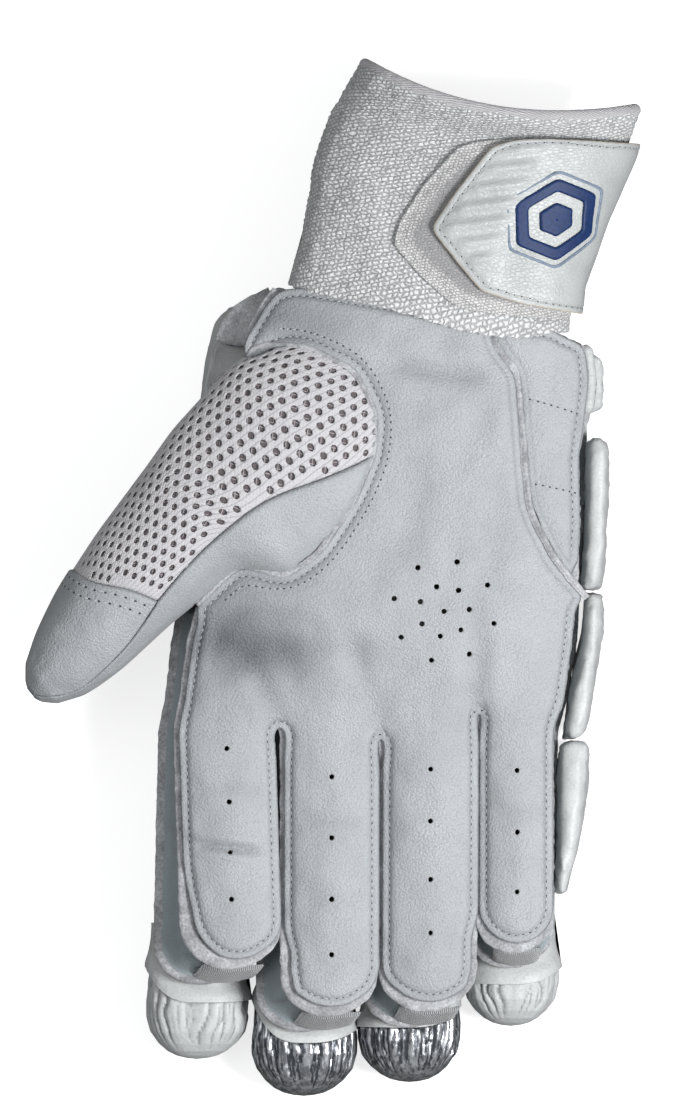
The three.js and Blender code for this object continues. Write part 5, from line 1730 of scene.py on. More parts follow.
@dataclass
class Padding:
    """Foam blocks in hide: rolls, pads, bolsters, the wrist bar and the thumb's guards."""

    drawing: Drawing
    finishes: Finishes
    inset: float = 1.1
    voxel: float = 2.2
    bolster_shift: float = 1.5
    bolster_stretch: float = 1.3
    glue_depth: float = 2.2
    frames: int = 20
    pressure: float = 4.0
    cap: float = 2.2
    shelf: float = 90.0

    def names(self) -> list[str]:
        """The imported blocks, in the order that they are made."""
        fingers = [finger.name for finger in FINGERS]
        kinds = ("roll_outer", "roll_inner", "pad_knuckle", "pad_hand")
        made = [f"{kind}_{name}" for kind in kinds for name in fingers]
        made += ["bolster_upper", "bolster_middle", "bolster_lower", "wrist_bar"]
        return made + ["thumb_guard_tip", "thumb_guard_base"]

    def build(self) -> None:
        """Puffs all blocks in one simulation and dresses each."""
        blocks = self.stacked()
        rest = np.array([v.co[:] for v in blocks.data.vertices])
        self.puff(blocks)
        moved = np.array([v.co[:] for v in blocks.data.vertices]) - rest
        reach = np.linalg.norm(moved, axis=1, keepdims=True)
        moved *= np.minimum(1.0, self.cap * 0.001 / np.maximum(reach, 1e-9))
        rest = rest + moved
        blocks.data.vertices.foreach_set("co", rest.astype(np.float32).ravel())
        self.dress(blocks)

    def stacked(self) -> bpy.types.Object:
        """All blocks a little smaller, remeshed as one object, each on a shelf of its own."""
        bm = bmesh.new()
        for shelf, name in enumerate(self.names()):
            one = self.drawing.copy(name)
            one.normal_update()
            bolster = name.startswith("bolster")
            inner = min(vert.co.x for vert in one.verts) + 3.0
            middle = sum(vert.co.y for vert in one.verts) / len(one.verts)
            for vert in one.verts:
                shift = self.bolster_shift if bolster and vert.co.x < inner else 0.0
                vert.co -= vert.normal * self.inset + Vector((shift, 0.0, 0.0))
                if bolster:
                    vert.co.y += math.copysign(self.bolster_stretch, vert.co.y - middle)
            bmesh.ops.translate(one, verts=one.verts, vec=(0, 0, shelf * self.shelf))
            mesh = bpy.data.meshes.new(name)
            one.to_mesh(mesh)
            one.free()
            bm.from_mesh(mesh)
            bpy.data.meshes.remove(mesh)
        bmesh.ops.transform(bm, matrix=TO_FRAME, verts=bm.verts)
        mesh = bpy.data.meshes.new("padding")
        bm.to_mesh(mesh)
        bm.free()
        blocks = bpy.data.objects.new("padding", mesh)
        bpy.context.scene.collection.objects.link(blocks)
        remesh = blocks.modifiers.new("remesh", "REMESH")
        remesh.mode = "VOXEL"
        remesh.voxel_size = self.voxel * 0.001
        remesh.use_smooth_shade = True
        self.bake(blocks)
        return blocks

    def bake(self, piece: bpy.types.Object) -> None:
        """Makes a piece's modifiers part of its mesh."""
        graph = bpy.context.evaluated_depsgraph_get()
        made = bpy.data.meshes.new_from_object(piece.evaluated_get(graph), depsgraph=graph)
        piece.modifiers.clear()
        piece.data = made

    def puff(self, blocks: bpy.types.Object) -> None:
        """Swells the blocks by air pressure, held where they are glued to the backing."""
        heights = np.array([v.co.z for v in blocks.data.vertices]) * 1000 % self.shelf
        glued = blocks.vertex_groups.new(name="glued")
        for i, height in enumerate(heights):
            if height > ROLL_DEPTH - self.glue_depth:
                glued.add([i], min(1.0, (height - ROLL_DEPTH + self.glue_depth) / 1.2), "REPLACE")
        cloth = blocks.modifiers.new("air", "CLOTH")
        for key, value in HIDE_CLOTH.items():
            setattr(cloth.settings, key, value)
        cloth.settings.use_pressure = True
        cloth.settings.uniform_pressure_force = self.pressure
        cloth.settings.effector_weights.gravity = 0.0
        cloth.settings.vertex_group_mass = "glued"
        cloth.collision_settings.use_collision = False
        cloth.point_cache.frame_start = 1
        cloth.point_cache.frame_end = self.frames
        scene = bpy.context.scene
        scene.frame_start, scene.frame_end = 1, self.frames
        for frame in range(1, self.frames + 1):
            scene.frame_set(frame)
        self.bake(blocks)
        scene.frame_set(1)

    def dress(self, blocks: bpy.types.Object) -> None:
        """Takes the blocks off their shelves and makes each a piece with sewn edges."""
        whole = bmesh.new()
        whole.from_mesh(blocks.data)
        bmesh.ops.transform(whole, matrix=TO_DRAWING, verts=whole.verts)
        bpy.data.objects.remove(blocks)
        for shelf, name in enumerate(self.names()):
            part = whole.copy()
            low = shelf * self.shelf - 20.0
            away = [v for v in part.verts if not low < v.co.z < low + self.shelf]
            bmesh.ops.delete(part, geom=away, context="VERTS")
            bmesh.ops.translate(part, verts=part.verts, vec=(0, 0, -shelf * self.shelf))
            bmesh.ops.smooth_vert(
                part, verts=part.verts, factor=0.5, use_axis_x=True, use_axis_y=True, use_axis_z=True
            )
            bmesh.ops.subdivide_edges(part, edges=part.edges, cuts=1, smooth=1.0, use_grid_fill=True)
            self.wrinkle(part, name, shelf * 13.7)
            piece = settle(part, f"{name}_foam", [self.finishes.hide], [name])
        whole.free()

    def wrinkle(self, bm: Mesh, name: str, seed: float) -> None:
        """Pulls fine folds into a block's hide, deepest beside its sewn edges."""
        bm.normal_update()
        low = Vector(map(min, *(v.co for v in bm.verts)))
        high = Vector(map(max, *(v.co for v in bm.verts)))
        for vert in bm.verts:
            place = vert.co
            edge = min(place.x - low.x, high.x - place.x, place.y - low.y, high.y - place.y)
            sewn = math.exp(-edge / 4.0)
            soft = 0.3 * grain(place.x / 11, place.y / 11, place.z / 11 + seed)
            folds = 0.55 * sewn * grain(place.x / 3.2, place.y / 3.2, place.z / 9 + seed)
            vert.co = place + vert.normal * (soft + folds)
            vert.co.z = max(vert.co.z, 0.0)


# The thumb


@dataclass(frozen=True)
class ThumbRow:
    """One section of the thumb stall, in shares of its length, girth and depth."""

    along: float
    half: float
    deep: float
    bow: float
    rise: float


@dataclass
class Thumb:
    """The thumb stall: air mesh over a dark lining, a leather tip and side, and its lower half."""

    drawing: Drawing
    finishes: Finishes
    hand: Hand
    length: float = 137.0
    girth: float = 62.0
    depth: float = 31.0
    level: float = SEAM_HEIGHT + 1.6
    root: Vector = field(default_factory=lambda: Vector((0.07 * PALM_WIDTH, 0.75 * PALM_LENGTH)))
    aim: Vector = field(default_factory=lambda: Vector((-0.872 * PALM_WIDTH, 0.074 * PALM_LENGTH)))
    hole: float = 1.04
    unroll: float = 22.0  # millimetres for each radian round the stall
    rows: tuple[ThumbRow, ...] = (
        ThumbRow(0.03, 0.29, 0.2, 0.13, 0.0),
        ThumbRow(0.11, 0.395, 0.38, 0.15, 0.0),
        ThumbRow(0.22, 0.465, 0.48, 0.15, 0.0),
        ThumbRow(0.42, 0.444, 0.5, 0.105, 0.0),
        ThumbRow(0.49, 0.32, 0.5, 0.183, -0.01),
        ThumbRow(0.68, 0.267, 0.485, 0.13, -0.07),
        ThumbRow(0.82, 0.227, 0.43, 0.07, -0.14),
        ThumbRow(0.91, 0.175, 0.35, 0.03, -0.195),
        ThumbRow(0.97, 0.105, 0.23, 0.015, -0.21),
        ThumbRow(1.0, 0.03, 0.07, 0.007, -0.22),
    )
    mesh_seam: tuple[tuple[float, float], ...] = (
        (-0.02, -0.17),
        (0.137, -0.135),
        (0.234, -0.074),
        (0.337, 0.011),
        (0.404, 0.032),
        (0.51, 0.026),
        (0.577, 0.011),
        (0.669, -0.029),
    )
    tip_seam: tuple[tuple[float, float], ...] = (
        (0.669, -0.029),
        (0.69, 0.066),
        (0.715, 0.144),
        (0.747, 0.218),
        (0.769, 0.323),
        (0.757, 0.45),
    )
    inner_seam: tuple[tuple[float, float], ...] = (
        (0.669, -0.029),
        (0.774, -0.098),
        (0.847, -0.113),
        (0.916, -0.121),
        (0.965, -0.069),
        (1.0, 0.0),
    )

    def __post_init__(self) -> None:
        """Works out the stall's directions and its smoothed sections."""
        self.way = (self.aim - self.root).normalized()
        self.side = Vector((self.way.y, -self.way.x))
        keys = np.array([row.along for row in self.rows])
        places = np.linspace(-0.06, 1.0, 240)
        self.places = places
        self.columns = {}
        for name in ("half", "deep", "bow", "rise"):
            raw = np.interp(places, keys, [getattr(row, name) for row in self.rows])
            passes = 45 if name in ("half", "bow") else 25
            soft = evened(raw, passes)
            blend = smooth(places, 0.88, 0.97)
            self.columns[name] = soft * (1 - blend) + raw * blend

    def column(self, name: str, along: float) -> float:
        """A section's value at a share of the length."""
        return float(np.interp(along, self.places, self.columns[name]))

    def surface(self, along: float, angle: float, grow: float = 0.0) -> Vector:
        """A place on the stall.

        Args:
            along: Share of the stall's length.
            angle: Place round it, from the cuff's side over the top.
            grow: Distance outside the surface.

        Returns:
            The place, in drawing millimetres.
        """
        half = max(self.column("half", along) * self.girth + grow, 0.2)
        deep = max(self.column("deep", along) * self.depth + grow, 0.2)
        out = self.column("bow", along) * self.girth + half * math.cos(angle)
        spot = self.root + self.way * (along * self.length) + self.side * out
        height = self.level + self.column("rise", along) * self.depth + deep * math.sin(angle)
        return Vector((spot.x, spot.y, height))

    def angle_of(self, along: float, side: float) -> float:
        """The place round the stall that is seen at a share of the girth to the side."""
        share = (side - self.column("bow", along)) / max(self.column("half", along), 1e-3)
        return math.acos(min(max(share, -1.0), 1.0))

    def unrolled(self, seam: Sequence[tuple[float, float]]) -> Line:
        """A seam on the unrolled stall, in millimetres along and round it."""
        smooth_line = curve_through([(a * 100, s * 100) for a, s in seam], 1.2) / 100
        return np.array([(a * self.length, self.angle_of(a, s) * self.unroll) for a, s in smooth_line])

    def lay(self, sheet: Sheet, lift: Callable[[float, float, float], float]) -> np.ndarray:
        """Lays an unrolled sheet on the stall.

        Args:
            sheet: The sheet, cut in millimetres along and round the stall.
            lift: Height over the stall, by the two flat places and the distance from the cut edge.

        Returns:
            The places of its points.
        """
        places = []
        for (a, r), edge in zip(sheet.points, sheet.edge):
            spot = self.surface(a / self.length, r / self.unroll, lift(a, r, edge))
            places.append(spot[:])
        return self.tucked(np.array(places))

    def tucked(self, places: np.ndarray) -> np.ndarray:
        """The places pressed under the palm leather where it covers them."""
        for place in places:
            hit = self.hand.surface.ray_cast(Vector((place[0], place[1], ABOVE)), DOWN)[0]
            if hit is not None:
                place[2] = min(place[2], hit.z - LEATHER - 0.45)
        return places

    def trimmed(self, sheet: Sheet, places: np.ndarray) -> Sheet:
        """The sheet without what lies far under the palm."""
        cover = self.hand.borders["palm_leather"]
        middles = places[sheet.faces].mean(axis=1)
        kept = ~inside(middles[:, :2], cover) | (away_from(middles[:, :2], cover)[0] < 3.5)
        edge = edge_run(THUMB_EDGE, 0.06, 0.99, Side.BACK, 40)
        hand = np.vstack([edge + (-0.3, 0.0), [(PALM_WIDTH, edge[-1][1]), (PALM_WIDTH, edge[0][1])]])
        low = middles[:, 2] < SEAM_HEIGHT - LEATHER - 2.0
        kept &= ~(inside(middles[:, :2], hand) & low)
        return Sheet(sheet.points, sheet.faces[kept], sheet.edge, sheet.border)

    def build(self) -> None:
        """Builds the stall's pieces."""
        mesh_line = self.unrolled(self.mesh_seam)
        tip_line = self.unrolled(self.tip_seam)
        inner_line = self.unrolled(self.inner_seam)
        start = mesh_line[0, 0]
        sewing = Sewing(pitch=3.1, length=1.7, radius=0.22, hole=0.45)
        flat_end = tip_line[-1, 0]
        mesh = np.vstack([[(start, 0.0)], [(flat_end, 0.0)], tip_line[::-1], mesh_line[::-1][1:]])
        self.air_mesh(mesh)
        tip = np.vstack([tip_line, [(self.length * 0.93, 0.0), (self.length, 0.0)], inner_line[::-1]])
        self.leather("thumb_tip", tip, sewing, tip_line)
        far = math.pi * self.unroll
        side = np.vstack([mesh_line, inner_line[1:], [(self.length, far)], [(start, far)]])
        self.leather("thumb_side", side, sewing, None)
        self.lower()
        sewing.finish("thumb", self.finishes)

    def air_mesh(self, outline: Line) -> None:
        """Builds the holed mesh and the lining under it.

        Args:
            outline: Its cut line on the unrolled stall.
        """
        border = resample(outline, 1.0, closed=True)
        low, high = border.min(axis=0), border.max(axis=0)
        span = int(max(high - low) / MESH_PITCH) + 2
        numbers = np.arange(-span, span)
        row = math.sin(math.radians(60))
        grid = np.array([(i + j % 2 / 2, j * row) for i in numbers for j in numbers], float) * MESH_PITCH
        cosine, sine = math.cos(MESH_TURN), math.sin(MESH_TURN)
        turned = (grid[:, 0] * cosine - grid[:, 1] * sine, grid[:, 0] * sine + grid[:, 1] * cosine)
        holes = np.column_stack(turned) + (low + high) / 2
        sheet = cut_sheet(border, 1.9, (0.8,), holes, self.hole)

        def lift(a: float, r: float, edge: float) -> float:
            """A soft give of the mesh between its seams."""
            give = 0.35 * grain(a / 24, r / 18, 2.0) * smooth(edge, 0.0, 5.0)
            return give - 0.25 * math.exp(-edge / 1.2)

        places = self.lay(sheet, lift)
        bm = sheet_mesh(self.trimmed(sheet, places), places)
        settle(bm, "thumb_mesh_face", [self.finishes.mesh], ["thumb_mesh"], 0.55)
        inner = cut_sheet(border, 2.6, (1.0,))
        under = self.lay(inner, lambda a, r, edge: lift(a, r, edge) - 0.8)
        bm = sheet_mesh(self.trimmed(inner, under), under)
        settle(bm, "thumb_mesh_lining", [self.finishes.lining], (), 0.5)

    def leather(self, node: str, outline: Line, sewing: Sewing, seam: Line | None) -> None:
        """Builds a leather piece of the stall.

        Args:
            node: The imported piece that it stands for.
            outline: Its cut line on the unrolled stall.
            sewing: Where its stitches go.
            seam: A seam that is sewn twice, on the unrolled stall.
        """
        border = resample(outline, 1.1, closed=True)
        sheet = cut_sheet(border, 1.6, (0.6, 1.2, 1.9, 2.7))

        def lift(a: float, r: float, edge: float) -> float:
            """The leather's own shape: a lapped edge, a sewn groove and soft wrinkles."""
            lap = 0.75 * smooth(edge, 0.0, 1.0) + 0.25 * math.exp(-(((edge - 0.9) / 0.5) ** 2))
            folds = 0.35 * grain(a / 9, r / 16, 6.0) + 0.16 * grain(a / 3.6, r / 7, 4.0)
            return lap + folds * smooth(edge, 1.5, 5.0)

        places = self.lay(sheet, lift)
        kept = self.trimmed(sheet, places)
        shade = 0.25 * np.exp(-kept.edge / 0.6)
        bm = sheet_mesh(kept, places, shade)
        tree = BVHTree.FromBMesh(bm)
        if seam is not None:
            for away in (2.4, 5.2):
                row = resample(seam, 0.7)
                row = row + sideways(row) * away
                spots = [self.surface(a / self.length, r / self.unroll, 1.0)[:] for a, r in row if r > 1.0]
                sewing.row(np.array(spots), tree)
        settle(bm, f"{node}_leather", [self.finishes.palm, self.finishes.raw], [node], 1.3)

    def lower(self) -> None:
        """Builds the stall's lower half."""
        far = math.pi * self.unroll
        outline = np.array([(0.0, far), (self.length, far), (self.length, 2 * far), (0.0, 2 * far)])
        border = resample(outline, 1.8, closed=True)
        sheet = cut_sheet(border, 2.2, (0.9, 2.0))

        def lift(a: float, r: float, edge: float) -> float:
            """Soft folds of the cloth between the seams."""
            folds = 0.5 * grain(a / 10, r / 14, 1.0) + 0.2 * grain(a / 4, r / 6, 2.0)
            return folds * smooth(edge, 0.5, 5.0)

        places = self.lay(sheet, lift)
        bm = sheet_mesh(self.trimmed(sheet, places), places)
        finishes = [self.finishes.palm, self.finishes.raw]
        settle(bm, "thumb_back_cloth", finishes, ["thumb_back"], 1.4)


# The cuff


@dataclass
class Cuff:
    """The knit cuff, its nap patch and its strap."""

    finishes: Finishes
    length: float = 68.0
    wall: float = 2.6
    scoop: float = 7.5
    foot_depth: float = 16.5
    foot_height: float = 39.9
    mouth_depth: float = 25.0
    mouth_height: float = 30.2
    strap_width: float = 51.0
    lean: float = 18.0
    outer: Vector = field(default_factory=lambda: Vector((0.505 * PALM_WIDTH, 0.897 * PALM_LENGTH)))
    thumb: Vector = field(default_factory=lambda: Vector((-0.216 * PALM_WIDTH, 1.004 * PALM_LENGTH)))
    rows: tuple[tuple[float, float, float, float], ...] = (
        # share up the cuff, half width, flare towards the mouth, sideways shift
        (0.0, 1.0, 0.0, 0.0),
        (0.2, 0.957, 0.15, -0.03),
        (0.5, 0.985, 0.5, -0.044),
        (0.78, 1.01, 0.82, -0.02),
        (1.0, 0.99, 1.0, 0.0),
    )
    strap_end: tuple[tuple[float, float], ...] = (
        # inward across the cuff and up it, in shares of the strap's width
        (0.16, 0.107),
        (0.32, 0.11),
        (0.547, 0.141),
        (0.916, 0.428),
        (0.937, 0.46),
        (0.755, 0.965),
        (0.62, 1.06),
        (0.44, 1.12),
        (0.227, 1.137),
    )
    patch: tuple[tuple[float, float], ...] = (
        (0.03, 0.07),
        (0.418, 0.024),
        (0.653, 0.024),
        (0.875, 0.147),
        (1.11, 0.32),
        (1.12, 0.452),
        (1.05, 0.7),
        (0.93, 0.945),
        (0.72, 1.04),
        (0.03, 1.1),
    )
    badge: tuple[float, float] = (0.27, 0.62)

    def __post_init__(self) -> None:
        """Works out the cuff's directions and the distance round it."""
        lean = math.radians(self.lean)
        self.up = Vector((math.sin(lean), math.cos(lean)))
        self.half = (self.outer - self.thumb).length / 2
        self.across = (self.outer - self.thumb).normalized()
        self.middle = (self.outer + self.thumb) / 2
        self.angles = np.linspace(-math.pi, math.pi, 721)
        spots = np.array([self.surface(a, self.length * 0.5)[:] for a in self.angles])
        steps = np.linalg.norm(np.diff(spots, axis=0), axis=1)
        self.round = np.concatenate([[0.0], np.cumsum(steps)])
        self.round -= np.interp(0.0, self.angles, self.round)

    def section(self, share: float) -> list[float]:
        """The half width, the flare and the sideways shift at a share up the cuff."""
        rows = np.array(self.rows)
        return [float(np.interp(share, rows[:, 0], column)) for column in rows[:, 1:].T]

    def surface(self, angle: float, up: float, grow: float = 0.0) -> Vector:
        """A place on the cuff.

        Args:
            angle: Place round it, from the outer edge over the palm side.
            up: Distance from its foot.
            grow: Distance outside its wall.

        Returns:
            The place, in drawing millimetres.
        """
        share = min(max(up / self.length, 0.0), 1.0)
        half_share, flare, shift = self.section(share)
        half_depth = lerp(self.foot_depth, self.mouth_depth, flare) + grow
        height = lerp(self.foot_height, self.mouth_height, flare)
        scoop = self.scoop * math.sin(angle) ** 2 * smooth(share, 0.72, 1.0)
        out = shift * self.half + (self.half * half_share + grow) * math.cos(angle)
        spot = self.middle + self.up * (up - scoop) + self.across * out
        rounded = math.copysign(abs(math.sin(angle)) ** 0.85, math.sin(angle))
        return Vector((spot.x, spot.y, height + half_depth * rounded))

    def angle_at(self, inward: float, up: float, grow: float) -> float:
        """The place round the palm side that lies so far inward from the outer corner of the foot."""
        half_share, _, shift = self.section(min(max(up / self.length, 0.0), 1.0))
        out = (self.half - inward - shift * self.half) / (self.half * half_share + grow)
        return math.acos(min(max(out, -1.0), 1.0))

    def angle_round(self, way: float) -> float:
        """The place round the cuff at a distance round it."""
        return float(np.interp(way, self.round, self.angles))

    def unrolled(self, outline: Sequence[tuple[float, float]], grow: float) -> Line:
        """An outline on the cuff's palm side, in millimetres round and up it."""
        made = []
        for inward, up in outline:
            angle = self.angle_at(inward * self.strap_width, up * self.strap_width, grow)
            made.append((np.interp(angle, self.angles, self.round), up * self.strap_width))
        return np.array(made)

    def lay(self, sheet: Sheet, grow: Callable[[float, float, float], float]) -> np.ndarray:
        """Lays an unrolled sheet on the cuff, its faces turned to look out."""
        sheet.faces = sheet.faces[:, ::-1].copy()
        places = []
        for (r, up), edge in zip(sheet.points, sheet.edge):
            places.append(self.surface(self.angle_round(r), up, grow(r, up, edge))[:])
        return np.array(places)

    def build(self) -> None:
        """Builds the knit, its hem, the nap patch and the strap."""
        self.knit()
        self.hem()
        self.nap()
        self.strap()

    def knit(self) -> None:
        """Builds the knitted tube, outside and inside."""
        total = self.round[-1] - self.round[0]
        columns, rows = 380, 116
        split = 0.72

        def place(u: float, v: float) -> Vector:
            """The tube's wall at a share round it, and up its outside and down its inside."""
            angle = self.angle_round(self.round[0] + u * total)
            if v < split:
                up = v / split * self.length
                row = up / 1.35
                col = u * total / 1.8 + 0.5 * (int(row) % 2)
                hump = math.sin(math.pi * (row % 1.0)) * abs(math.sin(math.pi * (col % 1.0)))
                x, y = math.cos(2 * math.pi * u), math.sin(2 * math.pi * u)
                ragged = 0.7 * grain(x * 22, y * 22) * math.exp(-up / 1.5)
                waves = 0.6 * grain(x * 2.6, y * 2.6, up / 16) + 0.3 * grain(x * 7, y * 7, up / 6)
                front = float(smooth(math.sin(angle), 0.0, 0.7))
                dip = 1.6 + 3.6 * math.exp(-(((angle - 1.15) / 0.55) ** 2))
                low = up - front * dip * math.exp(-up / 6)
                bulge = 2.8 * max(-math.cos(angle), 0.0) ** 3 * math.sin(math.pi * (up / self.length) ** 1.5)
                grow = 0.42 * hump - 0.2 + waves * smooth(up, 0, 8) + bulge
                return self.surface(angle, low + ragged, grow)
            down = (v - split) / (1 - split)
            grow = -self.wall * smooth(down, 0.0, 0.05)
            return self.surface(angle, self.length * (1 - down) - 0.2, grow)

        bm = mapped_grid(columns, rows, place, (total, self.length / split))
        bmesh.ops.recalc_face_normals(bm, faces=bm.faces)
        bmesh.ops.bridge_loops(bm, edges=[e for e in bm.edges if e.is_boundary])
        bmesh.ops.recalc_face_normals(bm, faces=bm.faces)
        settle(bm, "cuff_knit_tube", [self.finishes.knit], ["cuff"])

    def hem(self) -> None:
        """Builds the overlocked rim of the mouth."""
        total = self.round[-1] - self.round[0]
        count = 420
        path = []
        for i in range(count):
            angle = self.angle_round(self.round[0] + total * i / count)
            path.append(self.surface(angle, self.length - 0.5, -self.wall / 2)[:])
        line = np.array(path)

        def place(u: float, v: float) -> Vector:
            """The hem's surface at a share round its section and a share round the mouth."""
            i = round(v * count) % count
            run = Vector(line[(i + 1) % count] - line[i - 1]).normalized()
            up = Vector((self.up.x, self.up.y, 0.0))
            out = run.cross(up).normalized()
            angle = 2 * math.pi * u
            rib = 0.06 * (1 if i % 2 else -1) + 0.22 * grain(i / 3, u * 3, 2.0)
            wide = (self.wall / 2 + 0.45 + rib) * math.cos(angle)
            tall = (1.7 + 0.3 * rib) * math.sin(angle)
            return Vector(line[i]) + out * wide + up * tall

        bm = mapped_grid(14, count, place, (9.0, total))
        bmesh.ops.recalc_face_normals(bm, faces=bm.faces)
        settle(bm, "cuff_hem", [self.finishes.hem])

    def nap(self) -> None:
        """Builds the brushed patch that the strap grips."""
        grow = 0.3
        outline = self.unrolled(self.patch, grow)
        border = eased(resample(outline, 1.2, closed=True), 3, closed=True)
        sheet = cut_sheet(border, 1.5, (0.5, 1.0, 1.7, 2.6))

        def lift(r: float, up: float, edge: float) -> float:
            """The patch's thickness, sunk along its sewn edge."""
            fuzz = 0.16 * grain(r / 1.6, up / 1.6, 2.0)
            sunk = 0.5 * math.exp(-(((edge - 1.6) / 0.6) ** 2)) + 0.3 * math.exp(-edge / 0.4)
            return grow + 1.0 - sunk + fuzz

        places = self.lay(sheet, lift)
        bm = sheet_mesh(sheet, places, 0.75 * smooth(sheet.edge, 4.2, 5.4))
        piece = settle(bm, "nap_patch_cloth", [self.finishes.nap], ["nap_patch"], 0.9)
        size = np.ptp(sheet.points, axis=0) * 0.001

    def strap(self) -> None:
        """Builds the strap with its pressed ribs, raised border, stitches and motif."""
        grow = 2.0
        top = 3.95
        sewn = 1.8
        front = self.unrolled(self.strap_end, top)
        back = -np.interp(2.39, self.angles, self.round)
        width = self.strap_width
        tail = [(back, 1.12 * width), (back, 0.14 * width)]
        outline = np.vstack([front, tail])
        border = eased(resample(outline, 1.1, closed=True), 2, closed=True)
        sheet = cut_sheet(border, 1.25, (0.4, 0.9, 1.4, 1.8, 2.3, 3.0))
        tip = front[4]

        def lift(r: float, up: float, edge: float) -> float:
            """The strap's face: a rolled edge, a sewn line and slanting ribs beside the tip."""
            height = top - 0.55 * math.exp(-edge / 0.45) - 0.28 * math.exp(-(((edge - sewn) / 0.4) ** 2))
            reach = tip[0] - r
            slant = up - 0.35 * reach
            band = smooth(edge, 2.6, 4.0) * (1 - smooth(reach, 14.0 + 0.1 * up, 18.0 + 0.1 * up))
            ribs = 0.5 * (1 + math.cos(2 * math.pi * slant / 5.6))
            panel = 0.3 * smooth(reach, 19.0 + 0.12 * up, 20.4 + 0.12 * up)
            return height + 1.3 * band * ribs**1.6 - panel + 0.12 * grain(r / 9, up / 9, 1.0)

        places = self.lay(sheet, lift)
        bm = sheet_mesh(sheet, places, 0.35 * np.exp(-(((sheet.edge - sewn) / 0.5) ** 2)))
        for face, corners in zip(bm.faces, sheet.faces):
            face.material_index = int(sheet.edge[corners].mean() < 0.32)
        tree = BVHTree.FromBMesh(bm)
        sewing = Sewing(pitch=2.5, length=1.5, radius=0.2, hole=0.3)
        row = sheet.border + sideways(sheet.border, closed=True) * sewn
        gaps, _ = away_from(row, sheet.border)
        for run in runs_of(gaps > 1.65):
            spots = [self.surface(self.angle_round(r), up, top)[:] for r, up in row[run]]
            if len(spots) > 4:
                sewing.row(np.array(spots), tree)
        sewing.finish("strap", self.finishes)
        finishes = [self.finishes.strap, self.finishes.tan]
        settle(bm, "strap_band", finishes, ["strap"], top - grow)
        self.motif(top)

    def motif(self, top: float) -> None:
        """Builds the raised hexagon motif on the strap and the thin line round it."""
        centre = self.unrolled([self.badge], top)[0]
        steps = 96

        def hexagon(radius: float) -> Line:
            """A hexagon with softened corners round the motif's middle, closed onto its start."""
            angles = np.pi / 3 * (np.arange(6) + 0.2)
            corners = centre + radius * np.column_stack([np.cos(angles), np.sin(angles)])
            soft = eased(resample(corners, radius / 16, closed=True), 3, closed=True)
            line = np.vstack([soft, soft[:1]])
            wanted, shares = np.linspace(0, 1, steps + 1), np.linspace(0, 1, len(line))
            return np.column_stack([np.interp(wanted, shares, axis) for axis in line.T])

        rings = (
            ("strap_motif_line", 15.2, 14.3, 0.25, self.finishes.trim),
            ("strap_motif_ring", 12.6, 8.6, 0.55, self.finishes.motif),
            ("strap_motif_heart", 5.2, 0.05, 0.55, self.finishes.motif),
        )
        for name, outer, inner, rise, finish in rings:
            far, near = hexagon(outer), hexagon(inner)
            filled = inner <= 0.1

            def place(u: float, v: float) -> Vector:
                """The raised print at a share round it and a share from its inner to its outer edge."""
                i = round(u * steps)
                spot = near[i] + (far[i] - near[i]) * v
                edge = (1 - v if filled else min(v, 1 - v)) * (outer - inner)
                height = top - 0.1 + rise * float(smooth(edge, -0.3, 0.6))
                return self.surface(self.angle_round(spot[0]), spot[1], height)

            bm = mapped_grid(steps, 12, place, (60.0, 10.0))
            bmesh.ops.recalc_face_normals(bm, faces=bm.faces)
            if sum(face.normal.z for face in bm.faces) < 0:
                bmesh.ops.reverse_faces(bm, faces=bm.faces)
            settle(bm, name, [finish], (), 0.5)


# The small pieces at the wrist


@dataclass
class WristTrim:
    """The bound edge beside the heel panel."""

    drawing: Drawing
    finishes: Finishes
    radius: float = 2.0

    def build(self) -> None:
        """Builds the binding as a soft cord of folded hide."""
        low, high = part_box("wrist_binding")
        bottom, top = TO_DRAWING @ low, TO_DRAWING @ high
        tree = self.drawing.tree("wrist_binding")
        path = []
        middle = (bottom.z + top.z) / 2
        for y in np.linspace(bottom.y + 0.5, top.y - 0.5, 34):
            first, second = (tree.find_nearest(Vector((x, y, middle)))[0] for x in (bottom.x - 9, top.x + 9))
            path.append(((first.x + second.x) / 2, y, (first.z + second.z) / 2))
        line = eased(np.array(path), 8)

        def radius(v: float, angle: float) -> float:
            """The cord's radius, wrinkled and closed at its ends."""
            end = min(v, 1 - v) * 12
            return self.radius * min(1.0, math.sqrt(max(end, 0.05))) * (1 + 0.12 * grain(v * 14, angle, 3.0))

        bm = tube(line, radius, 18)
        settle(bm, "wrist_binding_hide", [self.finishes.hide], ["wrist_binding"])


# The studio


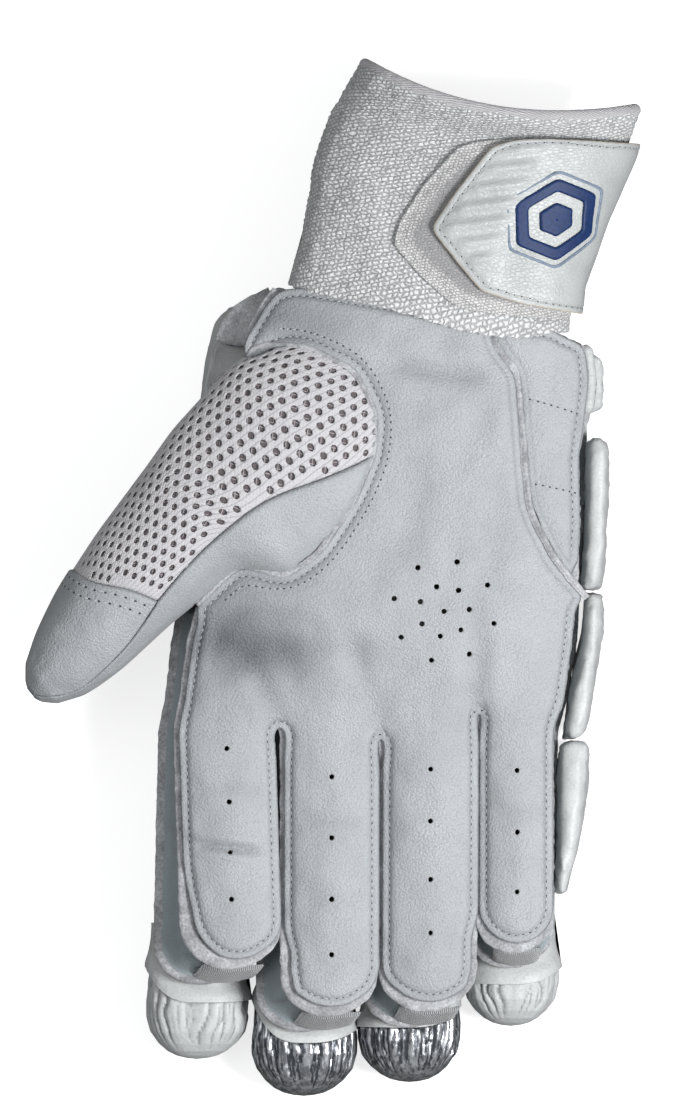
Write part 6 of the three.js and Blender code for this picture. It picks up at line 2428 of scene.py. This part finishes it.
@dataclass
class Studio:
    """A pale floor, soft lights and the camera straight above."""

    finishes: Finishes
    view_middle: tuple[float, float] = (4.24, 6.1)
    view_height: float = 323.9
    distance: float = 9.0
    surround: float = 0.38
    focus: float = 30.0

    def build(self) -> None:
        """Builds the floor, lights and camera."""
        bm = bmesh.new()
        bmesh.ops.create_grid(bm, x_segments=8, y_segments=8, size=4.0)
        mesh = bpy.data.meshes.new("floor")
        bm.to_mesh(mesh)
        bm.free()
        mesh.materials.append(self.finishes.floor)
        floor = bpy.data.objects.new("floor", mesh)
        bpy.context.scene.collection.objects.link(floor)
        floor.visible_diffuse = False
        floor.visible_glossy = False
        self.sky()
        self.lamp("key", (0.65, -0.2, 0.95), 0.35, 16.5)
        self.lamp("fill", (-0.5, 0.3, 1.3), 0.9, 5.5)
        self.camera()

    def sky(self) -> None:
        """Sets an even pale surround."""
        world = bpy.data.worlds.new("surround")
        world.use_nodes = True
        nodes, links = world.node_tree.nodes, world.node_tree.links
        way = nodes.new("ShaderNodeTexCoord").outputs["Generated"]
        parts = nodes.new("ShaderNodeSeparateXYZ")
        strength = nodes.new("ShaderNodeMapRange")
        for index, value in ((1, -0.25), (2, 0.35), (3, 0.1), (4, self.surround)):
            strength.inputs[index].default_value = value
        links.new(way, parts.inputs[0])
        links.new(parts.outputs["Z"], strength.inputs[0])
        links.new(strength.outputs[0], nodes["Background"].inputs["Strength"])
        nodes["Background"].inputs["Color"].default_value = (0.97, 0.985, 1.0, 1.0)
        bpy.context.scene.world = world

    def lamp(self, name: str, place: Sequence[float], size: float, power: float) -> None:
        """Adds a square lamp that faces the glove."""
        light = bpy.data.lights.new(name, "AREA")
        light.shape = "SQUARE"
        light.size = size
        light.energy = power
        lamp = bpy.data.objects.new(name, light)
        lamp.location = place
        lamp.rotation_euler = (-Vector(place)).to_track_quat("-Z", "Y").to_euler()
        lamp.visible_camera = False
        bpy.context.scene.collection.objects.link(lamp)

    def camera(self) -> None:
        """Sets the camera straight above, so that the view's height fits the glove as photographed."""
        data = bpy.data.cameras.new("above")
        data.sensor_width = 36.0
        away = self.distance - self.focus * 0.001
        data.lens = 36.0 * away / (self.view_height * 0.001)
        data.clip_end = 50.0
        camera = bpy.data.objects.new("above", data)
        camera.location = (self.view_middle[0] * 0.001, self.view_middle[1] * 0.001, self.distance)
        bpy.context.scene.collection.objects.link(camera)
        bpy.context.scene.camera = camera
        bpy.context.scene.view_settings.view_transform = "Standard"


def main() -> None:
    """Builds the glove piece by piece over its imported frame."""
    logging.basicConfig(level=logging.INFO, format="%(relativeCreated)6d %(name)s %(message)s")
    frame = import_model()
    drawing = Drawing(frame["nodes"])
    finishes = Finishes()
    hand = Hand(drawing, finishes)
    builders = (
        hand,
        Walls(drawing, finishes, hand),
        Backing(drawing, finishes),
        FingerEnds(finishes),
        Padding(drawing, finishes),
        Thumb(drawing, finishes, hand),
        Cuff(finishes),
        WristTrim(drawing, finishes),
        Studio(finishes),
    )
    for builder in builders:
        LOG.info("building %s", type(builder).__name__)
        builder.build()


if __name__ == "__main__":
    main()
